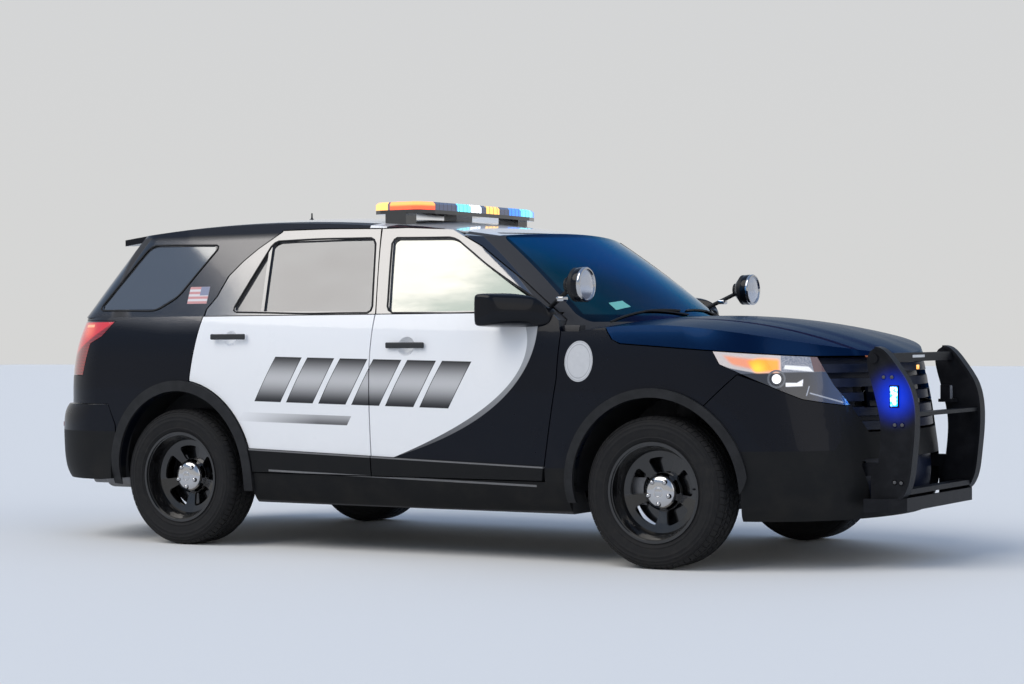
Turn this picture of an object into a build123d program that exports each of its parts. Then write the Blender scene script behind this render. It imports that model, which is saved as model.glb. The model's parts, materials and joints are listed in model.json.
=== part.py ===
"""Police patrol SUV, three rows long, built as separate panels and running gear.

Frame: +X forward, +Y left, +Z up, millimetres. Everything is drawn about
mid-wheelbase and moved at the end, so that the origin is on the ground
midway between the push bumper's front and the rear bumper's rear.
"""
from build123d import *
import os
from math import atan2, cos, degrees, hypot, pi, radians, sin, sqrt

os.makedirs("parts", exist_ok=True)

# Main sizes
WHEELBASE = 2864
TRACK = 1702
AXLE_FRONT, AXLE_REAR = WHEELBASE / 2, -WHEELBASE / 2
TYRE_RADIUS, TYRE_WIDTH = 363.5, 245
RIM_RADIUS = 229
SPINDLE = 34
HUB_HEIGHT = TYRE_RADIUS
FRONT_END, REAR_END = 2556, 2610
SHIFT = (REAR_END - FRONT_END) / 2
BELT = 1225
GAP = 5
SILL_TOP = 398
DOOR_BOTTOM = 404
DOOR_THICK = 104
FRAME_THICK = 46
FRAME_INSET = 3
GLASS_INSET, GLASS_THICK = 16, 5

# Plan outline of the body: arcs at front, rear, sides and corners
FRONT_ARC, REAR_ARC = 1300, 1800
FRONT_CORNER, REAR_CORNER, BUMPER_CORNER = 620, 385, 450
SIDE_ARC = 60000

# Body sections below the belt: height, front, rear, half width
LOWER = [
    (232, 2330, -2400, 878),
    (340, 2395, -2465, 952),
    (600, 2392, -2520, 981),
    (820, 2362, -2523, 989),
    (1000, 2326, -2508, 979),
    (1120, 2270, -2478, 957),
    (BELT, 2180, -2440, 922),
]
# Glasshouse sections: height, front, rear, half width
UPPER = [
    (1040, 1378, -2572, 991),
    (BELT, 1128, -2430, 921),
    (1480, 766, -2224, 828),
    (1800, 235, -1966, 692),
]
# Crowned surfaces: side arc through three points (x, z), crown radius
ROOF = ([(1150, 1511.2), (-1000, 1768), (-2500, 1643)], 5150)
HOOD = ([(2500, 929.2), (1500, 1202.6), (780, 1131.3)], 9000)

# Door outlines in side view (x, z), right-hand side
FRONT_DOOR = [(826, DOOR_BOTTOM), (838, 480), (915, 900), (924, 1120), (905, 1186),
              (651, 1376), (374, 1560), (190, 1652), (-90, 1668), (-400, 1668), (-400, DOOR_BOTTOM)]
FRONT_DOOR_REAR = [(-170, 380), (-176, BELT), (-250, 1700)]
REAR_DOOR = [(-178, DOOR_BOTTOM), (-184, BELT), (-257, 1668), (-600, 1676), (-885, 1676),
             (-1500, 1676), (-1500, DOOR_BOTTOM)]
REAR_DOOR_REAR = [(-1362, 380), (-1352, 900), (-1300, 1262), (-1246, 1330), (-1196, 1440),
                  (-1120, 1516), (-1036, 1582), (-900, 1668), (-880, 1700)]
FRONT_HINGE = (926, -988)
REAR_HINGE = (-178, -988)
# Window outlines in side view (x, z)
FRONT_WINDOW = [(812, 1236), (690, 1318), (392, 1484), (214, 1606), (-163, 1618), (-101, 1236)]
REAR_WINDOW = [(-213, 1238), (-284, 1620), (-930, 1618), (-1118, 1250)]
QUARTER_WINDOW = [(-2085, 1268), (-1800, 1614), (-1308, 1608), (-1530, 1338), (-1665, 1268)]
WINDSCREEN = [(-800, 1176), (-640, 1606), (-560, 1640), (560, 1640), (640, 1606), (800, 1176)]
GATE = [(-705, 764), (-735, 1000), (-722, 1180), (-645, 1655), (-600, 1900), (600, 1900),
        (645, 1655), (722, 1180), (735, 1000), (705, 764)]
GATE_WINDOW = [(-640, 1262), (-560, 1588), (560, 1588), (640, 1262)]
HEADLAMP = [(1722, 1060), (1775, 972), (1850, 938), (1975, 878), (2112, 808), (2240, 776), (2460, 768), (2460, 1060)]
# Inner end of the headlamp, and the grille between the lamps, in front view (y, z)
LAMP_END = [(-1200, 700), (-1200, 1100), (-668, 1100), (-660, 998), (-640, 940), (-605, 868), (-530, 776), (-500, 700)]
GRILLE_AREA = [(-655, 999), (655, 999), (635, 940), (600, 868), (524, 776), (436, 648), (-436, 648), (-524, 776), (-600, 868), (-635, 940)]
INTAKE = [(-520, 520), (520, 520), (440, 330), (-440, 330)]
TAIL_LAMP = [(-2700, 1216), (-1926, 1206), (-2009, 1119), (-2095, 1080), (-2140, 905), (-2700, 905)]
ROOF_HALF = 640
# Shut line of the hood in side view, running back over the wheel and up behind it
HOOD_SIDE = [(1158, 1500), (1158, 1170), (1186, 1126), (1212, 1092), (1255, 1073), (1707, 1040), (1963, 1021), (2140, 1008),
             (2600, 1002), (2600, 1500)]
# Rear bumper's outline in side view
BUMPER_SIDE = [(-2800, 746), (-1940, 746), (-1892, 636), (-1876, 345), (-1990, 335), (-2800, 335)]
GATE_TOP = -1888

# Wheel arches: axle position, arch centre height, lip radius, flare radius
ARCHES = [(AXLE_FRONT, 381, 434, 478), (AXLE_REAR, 393, 432, 488)]

# Steering and lids
KINGPIN_Y = 730
COLUMN = ((520, 372, 985), 24)
HOOD_AXIS = (1152, 1199)
GATE_AXIS = (GATE_TOP - 4, 1729)


def polygon_prism(points, place, direction, amount):
    edge = [place(a, b) for a, b in points]
    return extrude(make_face(Polyline(edge, close=True)), amount=amount, dir=direction)


def side(points, y0=-1200, y1=0):
    return polygon_prism(points, lambda x, z: (x, y0, z), (0, 1, 0), y1 - y0)


def across(points, x0, x1):
    return polygon_prism(points, lambda y, z: (x0, y, z), (1, 0, 0), x1 - x0)


def plan(points, z0, z1):
    return polygon_prism(points, lambda x, y: (x, y, z0), (0, 0, 1), z1 - z0)


def box(x0, x1, y0, y1, z0, z1):
    return Pos((x0 + x1) / 2, (y0 + y1) / 2, (z0 + z1) / 2) * Box(x1 - x0, y1 - y0, z1 - z0)


def along_y(x, z, radius, y0, y1):
    return Pos(x, (y0 + y1) / 2, z) * Rot(90, 0, 0) * Cylinder(radius, y1 - y0)


def along_x(y, z, radius, x0, x1):
    return Pos((x0 + x1) / 2, y, z) * Rot(0, 90, 0) * Cylinder(radius, x1 - x0)


def rod(a, b, radius):
    a, b = Vector(*a), Vector(*b)
    return Plane(origin=(a + b) / 2, z_dir=(b - a)) * Cylinder(radius, (b - a).length)


def left(shape):
    return shape.mirror(Plane.XZ)


def both(shape):
    return shape + left(shape)


def corner_arc(side_centre, side_radius, end_centre, end_radius, radius, sign):
    a, b = side_radius - radius, end_radius - radius
    dx, dy = end_centre[0] - side_centre[0], end_centre[1] - side_centre[1]
    d = hypot(dx, dy)
    m = (a * a - b * b + d * d) / (2 * d)
    h = sqrt(a * a - m * m)
    px, py = side_centre[0] + m * dx / d, side_centre[1] + m * dy / d
    c = max([(px - h * dy / d, py + h * dx / d), (px + h * dy / d, py - h * dx / d)], key=lambda p: sign * p[0])

    def touch(centre):
        away = hypot(c[0] - centre[0], c[1] - centre[1])
        return (c[0] + (c[0] - centre[0]) / away * radius, c[1] + (c[1] - centre[1]) / away * radius)

    on_side, on_end = touch(side_centre), touch(end_centre)
    mx, my = (on_side[0] + on_end[0]) / 2 - c[0], (on_side[1] + on_end[1]) / 2 - c[1]
    away = hypot(mx, my)
    return on_side, (c[0] + mx / away * radius, c[1] + my / away * radius), on_end


def outline(z, front, rear, half, inset, front_arc, rear_arc, front_corner, rear_corner, side_arc, mid):
    front, rear, half = front - inset, rear + inset, half - inset
    front_arc, rear_arc, side_arc = front_arc - inset, rear_arc - inset, side_arc - inset
    front_corner, rear_corner = front_corner - inset, rear_corner - inset
    centre = (mid, half - side_arc)
    fs, fm, fe = corner_arc(centre, side_arc, (front - front_arc, 0), front_arc, front_corner, 1)
    rs, rm, re = corner_arc(centre, side_arc, (rear + rear_arc, 0), rear_arc, rear_corner, -1)

    def at(p, s=1):
        return (p[0], s * p[1], z)

    return make_face(Wire([
        ThreePointArc(at(fe, -1), (front, 0, z), at(fe)),
        ThreePointArc(at(fe), at(fm), at(fs)),
        ThreePointArc(at(fs), (mid, half, z), at(rs)),
        ThreePointArc(at(rs), at(rm), at(re)),
        ThreePointArc(at(re), (rear, 0, z), at(re, -1)),
        ThreePointArc(at(re, -1), at(rm, -1), at(rs, -1)),
        ThreePointArc(at(rs, -1), (mid, -half, z), at(fs, -1)),
        ThreePointArc(at(fs, -1), at(fm, -1), at(fe, -1)),
    ]))


def lower(inset=0):
    return loft([outline(z, f, r, w, inset, FRONT_ARC, REAR_ARC, FRONT_CORNER, REAR_CORNER, SIDE_ARC, 0)
                 for z, f, r, w in LOWER])


def upper(inset=0):
    return loft([outline(z, f, r, w, inset, 1500, 1800, 200, 240, 34000, -150) for z, f, r, w in UPPER])


def crowned(surface, inset=0, bottom=300):
    """Everything under a surface that is an arc in side view and crowned across."""
    arc, crown = surface
    top = max(z for _, z in arc)
    axis = Axis((0, 0, top - crown), (1, 0, 0))
    points = [(x, 0, z - inset) for x, z in arc]
    a, c = points[0], points[2]
    face = make_face(Wire([ThreePointArc(*points), Line(c, (c[0], 0, bottom)),
                           Line((c[0], 0, bottom), (a[0], 0, bottom)), Line((a[0], 0, bottom), a)]))
    return revolve(face.rotate(axis, -14), axis, 28)


def skin_y(z):
    """Half width of the body at a height, on the side's middle."""
    table = [(h, w) for h, _, _, w in (LOWER[:-1] + UPPER[1:])]
    for (h0, w0), (h1, w1) in zip(table, table[1:]):
        if h0 <= z <= h1:
            return w0 + (w1 - w0) * (z - h0) / (h1 - h0)
    return table[0][1] if z < table[0][0] else table[-1][1]


def swing(rear_edge, hinge, gap=0):
    """What lies within the turning radius of a door's rear edge, so it opens without a clash."""
    hx, hy = hinge
    profile = [(hx, hy, rear_edge[0][1])]
    profile += [(hx + hypot(x - hx, -skin_y(z) - hy) + gap, hy, z) for x, z in rear_edge]
    profile += [(hx, hy, rear_edge[-1][1])]
    return revolve(make_face(Polyline(profile, close=True)), Axis((hx, hy, 0), (0, 0, 1)), 360)


def grown(points, amount):
    return offset(make_face(Polyline([(x, z) for x, z in points], close=True)), amount, kind=Kind.INTERSECTION)


def side_grown(points, amount, y0=-1200, y1=0, rounding=0):
    face = grown(points, amount) if amount else make_face(Polyline([(x, z) for x, z in points], close=True))
    if rounding:
        face = fillet(face.vertices(), rounding)
    return extrude(Plane.XZ.offset(-y1) * face, amount=y1 - y0)


def across_grown(points, amount, x0, x1, rounding=0):
    face = grown(points, amount) if amount else make_face(Polyline([(y, z) for y, z in points], close=True))
    if rounding:
        face = fillet(face.vertices(), rounding)
    return extrude(Plane.YZ.offset(x0) * face, amount=x1 - x0)


PARTS = {}
COLOURS = {}


def keep(name, shape, colour="black"):
    PARTS[name] = shape
    COLOURS[name] = colour


# Body forms at the depths that the panels use
ROOF_0, ROOF_IN = crowned(ROOF), crowned(ROOF, 42)
HOOD_0, HOOD_IN = crowned(HOOD), crowned(HOOD, 38)
LOW_0 = lower()
LOW_FENDER, LOW_PANEL, LOW_DOOR, LOW_PILLAR = lower(34), lower(60), lower(DOOR_THICK), lower(172)
UP_0, UP_FRAME_OUT = upper(), upper(FRAME_INSET)
UP_FRAME_IN, UP_PILLAR_0, UP_PILLAR_1, UP_PANEL = upper(FRAME_INSET + FRAME_THICK), upper(56), upper(128), upper(60)
UP_GLASS_0, UP_GLASS_1 = upper(GLASS_INSET), upper(GLASS_INSET + GLASS_THICK)
UP_SCREEN_0, UP_SCREEN_1 = upper(4), upper(10)
RIGHT_LOW = box(-2800, 2800, -1300, 0, 0, BELT)
RIGHT_HIGH = box(-2800, 2800, -1300, 0, BELT, 1900)
RIGHT = box(-2800, 2800, -1300, 0, 0, 2000)
LEFT = box(-2800, 2800, 0, 1300, 0, 2000)

DOOR_BLANK = box(-1500, 960, -1300, -600, 380, BELT)
DOOR_SHELL = (LOW_0 & DOOR_BLANK) - LOW_DOOR
FRAME_SHELL = (UP_FRAME_OUT & box(-1500, 1100, -1300, -500, BELT, 1720)) - UP_FRAME_IN
GLASS_SHELL = (UP_GLASS_0 & box(-1500, 1100, -1300, -500, 1180, 1700)) - UP_GLASS_1


def arch_cut(radius_key, grow=0, y0=-1200, y1=-600):
    """The right-hand wheel openings."""
    cut = None
    for x, z, lip, flare in ARCHES:
        r = (lip if radius_key == "lip" else flare) + grow
        c = along_y(x, z, r, y0, y1)
        cut = c if cut is None else cut + c
    return cut


# Room that the turning wheels and the liners need
WELLS = both(along_y(AXLE_FRONT, 381, 460, -1200, -514) + along_y(AXLE_REAR, 393, 458, -1200, -684))


# Doors, modelled on the right and mirrored
CLADDING = (lower(-9) & side([(-1500, DOOR_BOTTOM), (960, DOOR_BOTTOM), (960, 469), (-1500, 541)], -1300, -600)) - lower(6)


def door(outline_points, rear_edge, hinge, window, handle_x, handle_z):
    sheet = side(outline_points)
    reach = swing(rear_edge, hinge)
    panel = DOOR_SHELL & sheet & reach
    frame = FRAME_SHELL & sheet & reach
    panel = panel - arch_cut("flare", GAP)
    opening = side_grown(window, 0, rounding=22)
    body = panel + (frame - opening)
    rabbet = GLASS_SHELL & side_grown(window, 13, rounding=30)
    body = body - rabbet
    # recess and pull handle
    skin = skin_y(handle_z)
    body = body - Pos(handle_x, -skin - 30, handle_z) * Sphere(57)
    grip = Pos(handle_x, -skin - 17, handle_z) * Box(230, 16, 30)
    grip = fillet(grip.edges(), 7)
    for dx in (-96, 96):
        grip = grip + Pos(handle_x + dx, -skin - 4, handle_z) * Box(26, 26, 22)
    body = body + grip
    # lower cladding strip, proud of the skin
    strip = (CLADDING & sheet & reach) - arch_cut("flare", GAP)
    body = body + strip
    glass = rabbet & (sheet & reach)
    return body, glass


front_door, front_glass = door(FRONT_DOOR, FRONT_DOOR_REAR, FRONT_HINGE, FRONT_WINDOW, 40, 1066)
rear_door, rear_glass = door(REAR_DOOR, REAR_DOOR_REAR, REAR_HINGE, REAR_WINDOW, -1090, 1114)
# fixed quarter light bar in the rear door glass
rear_glass_bar = (UP_FRAME_OUT & side([(-905, 1236), (-945, 1620), (-965, 1620), (-925, 1236)], -1200, -600)) - UP_FRAME_IN
rear_door = rear_door + (rear_glass_bar - GLASS_SHELL)

for tag, shape, glass in (("front", front_door, front_glass), ("rear", rear_door, rear_glass)):
    keep(f"door_{tag}_right", shape, "white")
    keep(f"door_{tag}_left", left(shape), "white")
    keep(f"door_glass_{tag}_right", glass, "glass")
    keep(f"door_glass_{tag}_left", left(glass), "glass")

# Mirrors on the front doors
head = plan([(748, -924), (734, -1010), (688, -1108), (640, -1147), (586, -1150), (560, -1122), (552, -962), (590, -922)], 1160, 1312)
head = fillet(head.edges(), 17)
head = head - Pos(560, -1034, 1236) * Rot(0, 0, -3) * Box(26, 148, 112)
arm = Pos(782, -938, 1196) * Box(150, 96, 58)
mirror_right = (head + fillet(arm.edges(), 14)) - UP_FRAME_OUT - LOW_0
keep("mirror_right", mirror_right, "trim")
keep("mirror_left", left(mirror_right), "trim")

# Apertures in the fixed body
FRONT_APERTURE = side_grown(FRONT_DOOR, GAP + 1) & swing(FRONT_DOOR_REAR, FRONT_HINGE, GAP + 1)
REAR_APERTURE = side_grown(REAR_DOOR, GAP + 1) & swing(REAR_DOOR_REAR, REAR_HINGE, GAP + 2)
APERTURES = FRONT_APERTURE + REAR_APERTURE
GATE_HOLE = across_grown(GATE, 8, -2800, GATE_TOP)
SCREEN_HOLE = across_grown(WINDSCREEN, 0, 200, 1400, rounding=40)

ROOF_AREA = plan([(-2800, -ROOF_HALF), (396, -ROOF_HALF), (399, -600), (1200, -600), (1200, 600), (399, 600), (396, ROOF_HALF),
                  (-2800, ROOF_HALF)], 1600, 1900)

# Fixed body side: pillars, roof rail, quarter panel and rocker
upper_shell = ((UP_0 & ROOF_0) - (UP_PANEL & ROOF_IN)) & box(-2800, 2800, -1300, 1300, BELT, 1900)
side_shell = (upper_shell & RIGHT) - APERTURES - GATE_HOLE - SCREEN_HOLE
side_shell = side_shell - ROOF_AREA
quarter_hole = side_grown(QUARTER_WINDOW, 0, rounding=22)
quarter_glass = ((upper(5) & side_grown(QUARTER_WINDOW, 16, rounding=30)) - upper(11)) & RIGHT
side_shell = side_shell - quarter_hole - quarter_glass
quarter = (LOW_0 & box(-2800, -960, -1200, 0, 345, BELT)) - LOW_PANEL
quarter = quarter - REAR_APERTURE - GATE_HOLE - arch_cut("lip") - side_grown(BUMPER_SIDE, 5)
lamp_cut = side(TAIL_LAMP) & box(-2800, -1800, -1200, -560, 800, 1300)
quarter = quarter - lamp_cut
pillar_base = ((UP_0 & LOW_0) & box(880, 1146, -1200, 0, 1136, BELT)) - UP_PANEL - FRONT_APERTURE - SCREEN_HOLE
cowl_side = (LOW_FENDER & box(835, 1008, -1200, -600, 380, 1160)) - lower(92) - FRONT_APERTURE - arch_cut("lip", 26)
rocker = ((LOW_0 & box(-960, 960, -1200, -600, 240, SILL_TOP)) - LOW_PILLAR) - arch_cut("lip", 2)
pillar = (lower(DOOR_THICK + 7) & box(-240, -118, -1200, -600, 360, BELT)) - LOW_PILLAR
pillar = pillar + ((UP_PILLAR_0 & ROOF_IN & side([(-240, BELT), (-118, BELT), (-176, 1690), (-322, 1690)], -1200, -500)) - UP_PILLAR_1)
body_right = side_shell + quarter + pillar + rocker + cowl_side + pillar_base
keep("body_side_right", body_right)
keep("body_side_left", left(body_right))
keep("quarter_glass", both(quarter_glass), "glass")

# Roof panel with a short aerial
roof = ((upper_shell & box(GATE_TOP, 1200, -700, 700, 1600, 1900)) & ROOF_AREA) - SCREEN_HOLE
aerial = Pos(-1246, 0, 1766) * Cone(26, 14, 26) + Pos(-1246, 0, 1821) * Cylinder(4, 102)
keep("roof", roof + aerial)

# Windscreen
screen = (UP_SCREEN_0 - UP_SCREEN_1) & across_grown(WINDSCREEN, 14, 200, 1400, rounding=50) & ROOF_0
keep("windscreen", screen, "glass")
for name in ("body_side_right", "body_side_left", "roof"):
    PARTS[name] = PARTS[name] - screen
PARTS["roof"] = PARTS["roof"].solids().sort_by(SortBy.VOLUME)[-1]

# Liftgate with its spoiler, and its glass
gate_region = across_grown(GATE, 0, -2800, GATE_TOP - 2 * GAP, rounding=0) & box(-2800, GATE_TOP - 8, -900, 900, 764, 1900)
gate_low = (LOW_0 & gate_region & box(-2800, -2000, -900, 900, 764, BELT)) - lower(85)
gate_up = (UP_0 & ROOF_0 & gate_region & box(-2800, -1800, -900, 900, BELT, 1900)) - (upper(70) & crowned(ROOF, 50))
spoiler = (crowned(ROOF) - crowned(ROOF, 34)) & plan(
    [(GATE_TOP - 8, -600), (GATE_TOP - 8, 600), (-2120, 590), (-2190, 430), (-2212, 0), (-2190, -430), (-2120, -590)], 1500, 1900)
gate_hole = across_grown(GATE_WINDOW, 0, -2800, -1900, rounding=40)
gate_rabbet = (upper(4) - upper(10)) & across_grown(GATE_WINDOW, 16, -2800, -1900, rounding=50) & box(-2800, -1900, -900, 900, 1200, 1700)
gate = gate_low + (gate_up - gate_hole) + spoiler
gate = gate - gate_rabbet
keep("liftgate", gate)
keep("liftgate_glass", gate_rabbet - spoiler, "glass")

# Tail lamps
tail = (LOW_0 & side_grown(TAIL_LAMP, -3) & box(-2800, -1800, -1200, -742, 800, 1222)) - lower(55)
keep("tail_lamps", both(tail), "red")

# Hood, fenders, cowl
front_body = LOW_0 & HOOD_0
hood = (front_body & side(HOOD_SIDE, -1200, 1200)) - (lower(38) & crowned(HOOD, 40))
keep("hood", hood)

hood_clear = side_grown(HOOD_SIDE, GAP + 1, y0=-1200, y1=1200)
SPLIT = [(1699, 200), (1699, 779), (1853, 925), (2700, 925), (2700, 200)]
fender = (front_body & box(1012, 2600, -1200, 0, SILL_TOP, 1300)) - (LOW_FENDER & HOOD_IN) - box(1012, 1152, -818, 0, 0, 1400)
fender = fender - (UP_0 & box(1000, 1200, -1200, 0, 1130, 1300))
fender = fender + ((LOW_0 & box(840, 1012, -1200, -600, SILL_TOP, 1130)) - LOW_FENDER)
fender = fender - hood_clear - FRONT_APERTURE - arch_cut("lip") - side_grown(HEADLAMP, 3) - side(SPLIT)
keep("fenders", both(fender))

cowl = (front_body & box(1012, HOOD_AXIS[0] - 6, -805, 805, 1060, 1300)) - UP_0 - crowned(HOOD, 60)
firewall = box(1010, 1030, -770, 770, 340, 1130)
shelf = box(1000, HOOD_AXIS[0] - 6, -770, 770, 1104, 1124)
keep("cowl", (cowl + firewall + shelf) - WELLS, "trim")

# Front end: bumper cover, grille, headlamps
bumper_side = [(1702, 775), (1856, 921), (1975, 874), (2112, 804), (2240, 772), (2470, 764), (2470, 232), (1702, 232)]
front_bumper = (LOW_0 & side(bumper_side, -1200, 1200)) - lower(40) - both(arch_cut("lip"))
front_bumper = front_bumper - across_grown(GRILLE_AREA, 3, 2000, 2700) - across_grown(INTAKE, 0, 2000, 2700, rounding=30)
keep("front_bumper", front_bumper)

grille_blank = across_grown(GRILLE_AREA, -2, 2000, 2700)
bars = None
for height in (676, 744, 812, 880, 948):
    bar = box(2000, 2700, -700, 700, height - 20, height + 20)
    bars = bar if bars is None else bars + bar
grille_zone = lower(8) & grille_blank & HOOD_IN
grille = ((grille_zone & bars) - lower(58)) + ((lower(56) & grille_blank & HOOD_IN) - lower(70))
grille = grille + ((lower(41) & across_grown(INTAKE, 10, 2000, 2700)) - lower(47))
grille = grille - hood_clear - both(box(2200, 2600, 424, 472, 434, 506)) - both(box(2200, 2600, 324, 430, 760, 858))
keep("grille", grille, "trim")

lamp = (LOW_0 & side_grown(HEADLAMP, 0) & across(LAMP_END, 1600, 2700)) - lower(90) - hood_clear
keep("headlamps", both(lamp), "lamp")

# Rear bumper
REAR_BUMPER = [(335, -2552), (400, -2590), (500, -2606), (605, -REAR_END), (690, -2600), (746, -2566)]


def rear_form(inset):
    return loft([outline(z, 2200, r, 986, inset, FRONT_ARC, REAR_ARC, FRONT_CORNER, BUMPER_CORNER, SIDE_ARC, 0)
                 for z, r in REAR_BUMPER])


rear_bumper = (rear_form(0) & side(BUMPER_SIDE, -1200, 1200)) - rear_form(55)
ledge = (rear_form(0) & box(-2800, -2300, -760, 760, 700, 746)) - lower(62)
rear_bumper = (rear_bumper + ledge) - both(arch_cut("flare", 3))
keep("rear_bumper", rear_bumper, "trim")

# Wheel arch flares
flares = None
for x, z, lip, flare in ARCHES:
    ring = along_y(x, z, flare, -1003, -930) - along_y(x, z, lip, -1100, -800)
    ring = ring - box(x - 600, x + 600, -1100, -800, 0, 300)
    ring = ring & (lower(-17)) & RIGHT
    ring = ring - (LOW_0)
    flares = ring if flares is None else flares + ring
keep("arch_flares", both(flares), "trim")

# Wheel house liners
liner_front = (along_y(AXLE_FRONT, 381, 454, -905, -520) - along_y(AXLE_FRONT, 381, 448, -915, -460)) & box(900, 2800, -1200, 0, 350, 1000)
liner_rear = (along_y(AXLE_REAR, 393, 450, -905, -690) - along_y(AXLE_REAR, 393, 444, -915, -696)) & box(-2800, 0, -1200, 0, 345, 1000)
liners = (liner_front & lower(42)) + (liner_rear & lower(62))
keep("wheel_liners", both(liners), "trim")

# Underbody: floor, tunnel, rails, crossmembers and strut towers
FLOOR_HALF = 738
floor = box(-1000, 1008, -FLOOR_HALF, FLOOR_HALF, 292, 316)
tunnel = box(-1000, 1008, -150, 150, 316, 430) - box(-1010, 1030, -130, 130, 280, 410)
rear_floor = box(-2420, -1000, -660, 660, 560, 584)
kick = box(-1024, -1000, -FLOOR_HALF, FLOOR_HALF, 292, 584)
rails = None
for x0, x1, y0, z0, z1 in ((-1000, 1060, 480, 232, 292), (1030, 2230, 430, 420, 520), (-2420, -1000, 560, 470, 560)):
    r = box(x0, x1, y0, y0 + 76, z0, z1)
    rails = r if rails is None else rails + r
nose = box(1030, 1060, 430, 556, 232, 520)
tower = box(1372, 1492, 430, 452, 520, 812) + box(1372, 1492, 430, 664, 800, 812)
cross = box(2180, 2230, -510, 510, 420, 520) + box(1700, 1760, -506, 506, 420, 480) + box(-2420, -2380, -636, 636, 470, 560)
under = (floor + tunnel + rear_floor + kick + both(rails + nose) + cross) - WELLS
keep("underbody", under + both(tower), "trim")

# Cabin
dash_profile = [(1008, 700), (1008, 1080), (930, 1128), (760, 1120), (668, 1066), (640, 980), (690, 900), (760, 700)]
dash = polygon_prism(dash_profile, lambda x, z: (x, -745, z), (0, 1, 0), 1490)
console = box(150, 900, -120, 120, 432, 716)
keep("dashboard", dash + fillet(console.edges().filter_by(Axis.Y), 30), "trim")


def seat(x, y, width, z0=500):
    base = Pos(x, y, z0 + 55) * Box(500, width, 130)
    base = fillet(base.edges(), 42)
    back = Pos(x - 300, y, z0 + 390) * Rot(0, -18, 0) * Box(130, width, 640)
    back = fillet(back.edges(), 42)
    return base + back


def head_rest(x, y, z0=500):
    rest = Pos(x - 412, y, z0 + 770) * Rot(0, -14, 0) * Box(90, 250, 170)
    rest = fillet(rest.edges(), 36)
    post = rod((x - 385, y, z0 + 620), (x - 410, y, z0 + 740), 8)
    return rest + post


front_seats = None
for y in (-385, 385):
    s = seat(250, y, 500) + head_rest(250, y) + box(60, 440, y - 190, y + 190, 316, 500)
    front_seats = s if front_seats is None else front_seats + s
keep("front_seats", front_seats, "fabric")
bench = seat(-620, 0, 1240, 520) + head_rest(-620, -400, 520) + head_rest(-620, 400, 520) + both(box(-840, -420, -560, -156, 316, 530))
keep("rear_seat", bench, "fabric")

# Steering wheel on its column
(cx, cy, cz), tilt = COLUMN
column_plane = Plane(origin=(cx, cy, cz), z_dir=(-cos(radians(tilt)), 0, sin(radians(tilt))))
ring = Torus(185, 15)
hub = Pos(0, 0, -18) * Cylinder(62, 44)
spokes = None
for angle in (0, 90, 180):
    s = Rot(0, 0, angle + 90) * Pos(115, 0, -8) * Box(140, 36, 16)
    spokes = s if spokes is None else spokes + s
shaft = Pos(0, 0, -60) * Cylinder(20, 60)
keep("steering_wheel", column_plane * (ring + hub + spokes + shaft), "trim")
socket = column_plane * (Pos(0, 0, -160) * Cylinder(44, 130))
PARTS["dashboard"] = PARTS["dashboard"] + socket

# Engine block, in its bay
engine = box(1290, 1990, -330, 250, 420, 940)
engine = chamfer(engine.edges().filter_by(Axis.X), 50) - box(1200, 2100, -600, 600, 0, 440)
keep("engine", engine - box(1690, 1770, -600, 600, 400, 490), "metal")

# Exhaust with its silencer
pipe_line = FilletPolyline((1100, -60, 258), (-1640, -60, 258), (-1800, -290, 286), (-1960, -330, 300), radius=80)
exhaust = sweep(Plane(origin=pipe_line @ 0, z_dir=pipe_line % 0) * Circle(30), path=pipe_line)
silencer = Pos(-2130, -330, 330) * Box(400, 460, 140)
silencer = fillet(silencer.edges(), 55)
tips = along_x(-330, 298, 32, -2570, -2320)
keep("exhaust", exhaust + silencer + tips, "metal")

# Front suspension carried by the body
arms = None
for s in (-1, 1):
    arm = plan([(1300, s * 380), (1530, s * 380), (1462, s * 720), (1402, s * 720)], 244, 268)
    arm = arm - plan([(1352, s * 420), (1482, s * 420), (1432, s * 600)], 200, 300)
    arm = arm + Pos(1432, s * KINGPIN_Y, 256) * Cylinder(32, 24)
    arms = arm if arms is None else arms + arm
sub = box(1280, 1560, -400, 400, 244, 300)
sub = sub - box(1340, 1500, -300, 300, 200, 400)
posts = None
for s in (-1, 1):
    p = box(1290, 1560, min(s * 432, s * 500), max(s * 432, s * 500), 300, 420)
    posts = p if posts is None else posts + p
sub = sub + box(1290, 1560, -506, 506, 270, 300) - box(1340, 1500, -300, 300, 200, 400)
struts = upper_arms = None
for s in (-1, 1):
    line = [(AXLE_FRONT, s * 640, 268), (AXLE_FRONT, s * 600, 784)]
    t = rod(*line, 17) + Pos(AXLE_FRONT, s * 608, 690) * Cylinder(50, 180) + Pos(AXLE_FRONT, s * 600, 790) * Cylinder(56, 20)
    t = t & box(0, 2000, -1000, 1000, 268, 800)
    struts = t if struts is None else struts + t
    u = plan([(1372, s * 470), (1492, s * 470), (1456, s * 748), (1408, s * 748)], 541, 557)
    u = u - plan([(1388, s * 500), (1476, s * 500), (1453, s * 668), (1411, s * 668)], 500, 600)
    u = u + box(1372, 1492, min(s * 470, s * 500), max(s * 470, s * 500), 520, 557)
    upper_arms = u if upper_arms is None else upper_arms + u
posts = posts + upper_arms
keep("front_subframe", sub + arms + posts, "metal")
keep("front_struts", struts, "metal")

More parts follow.
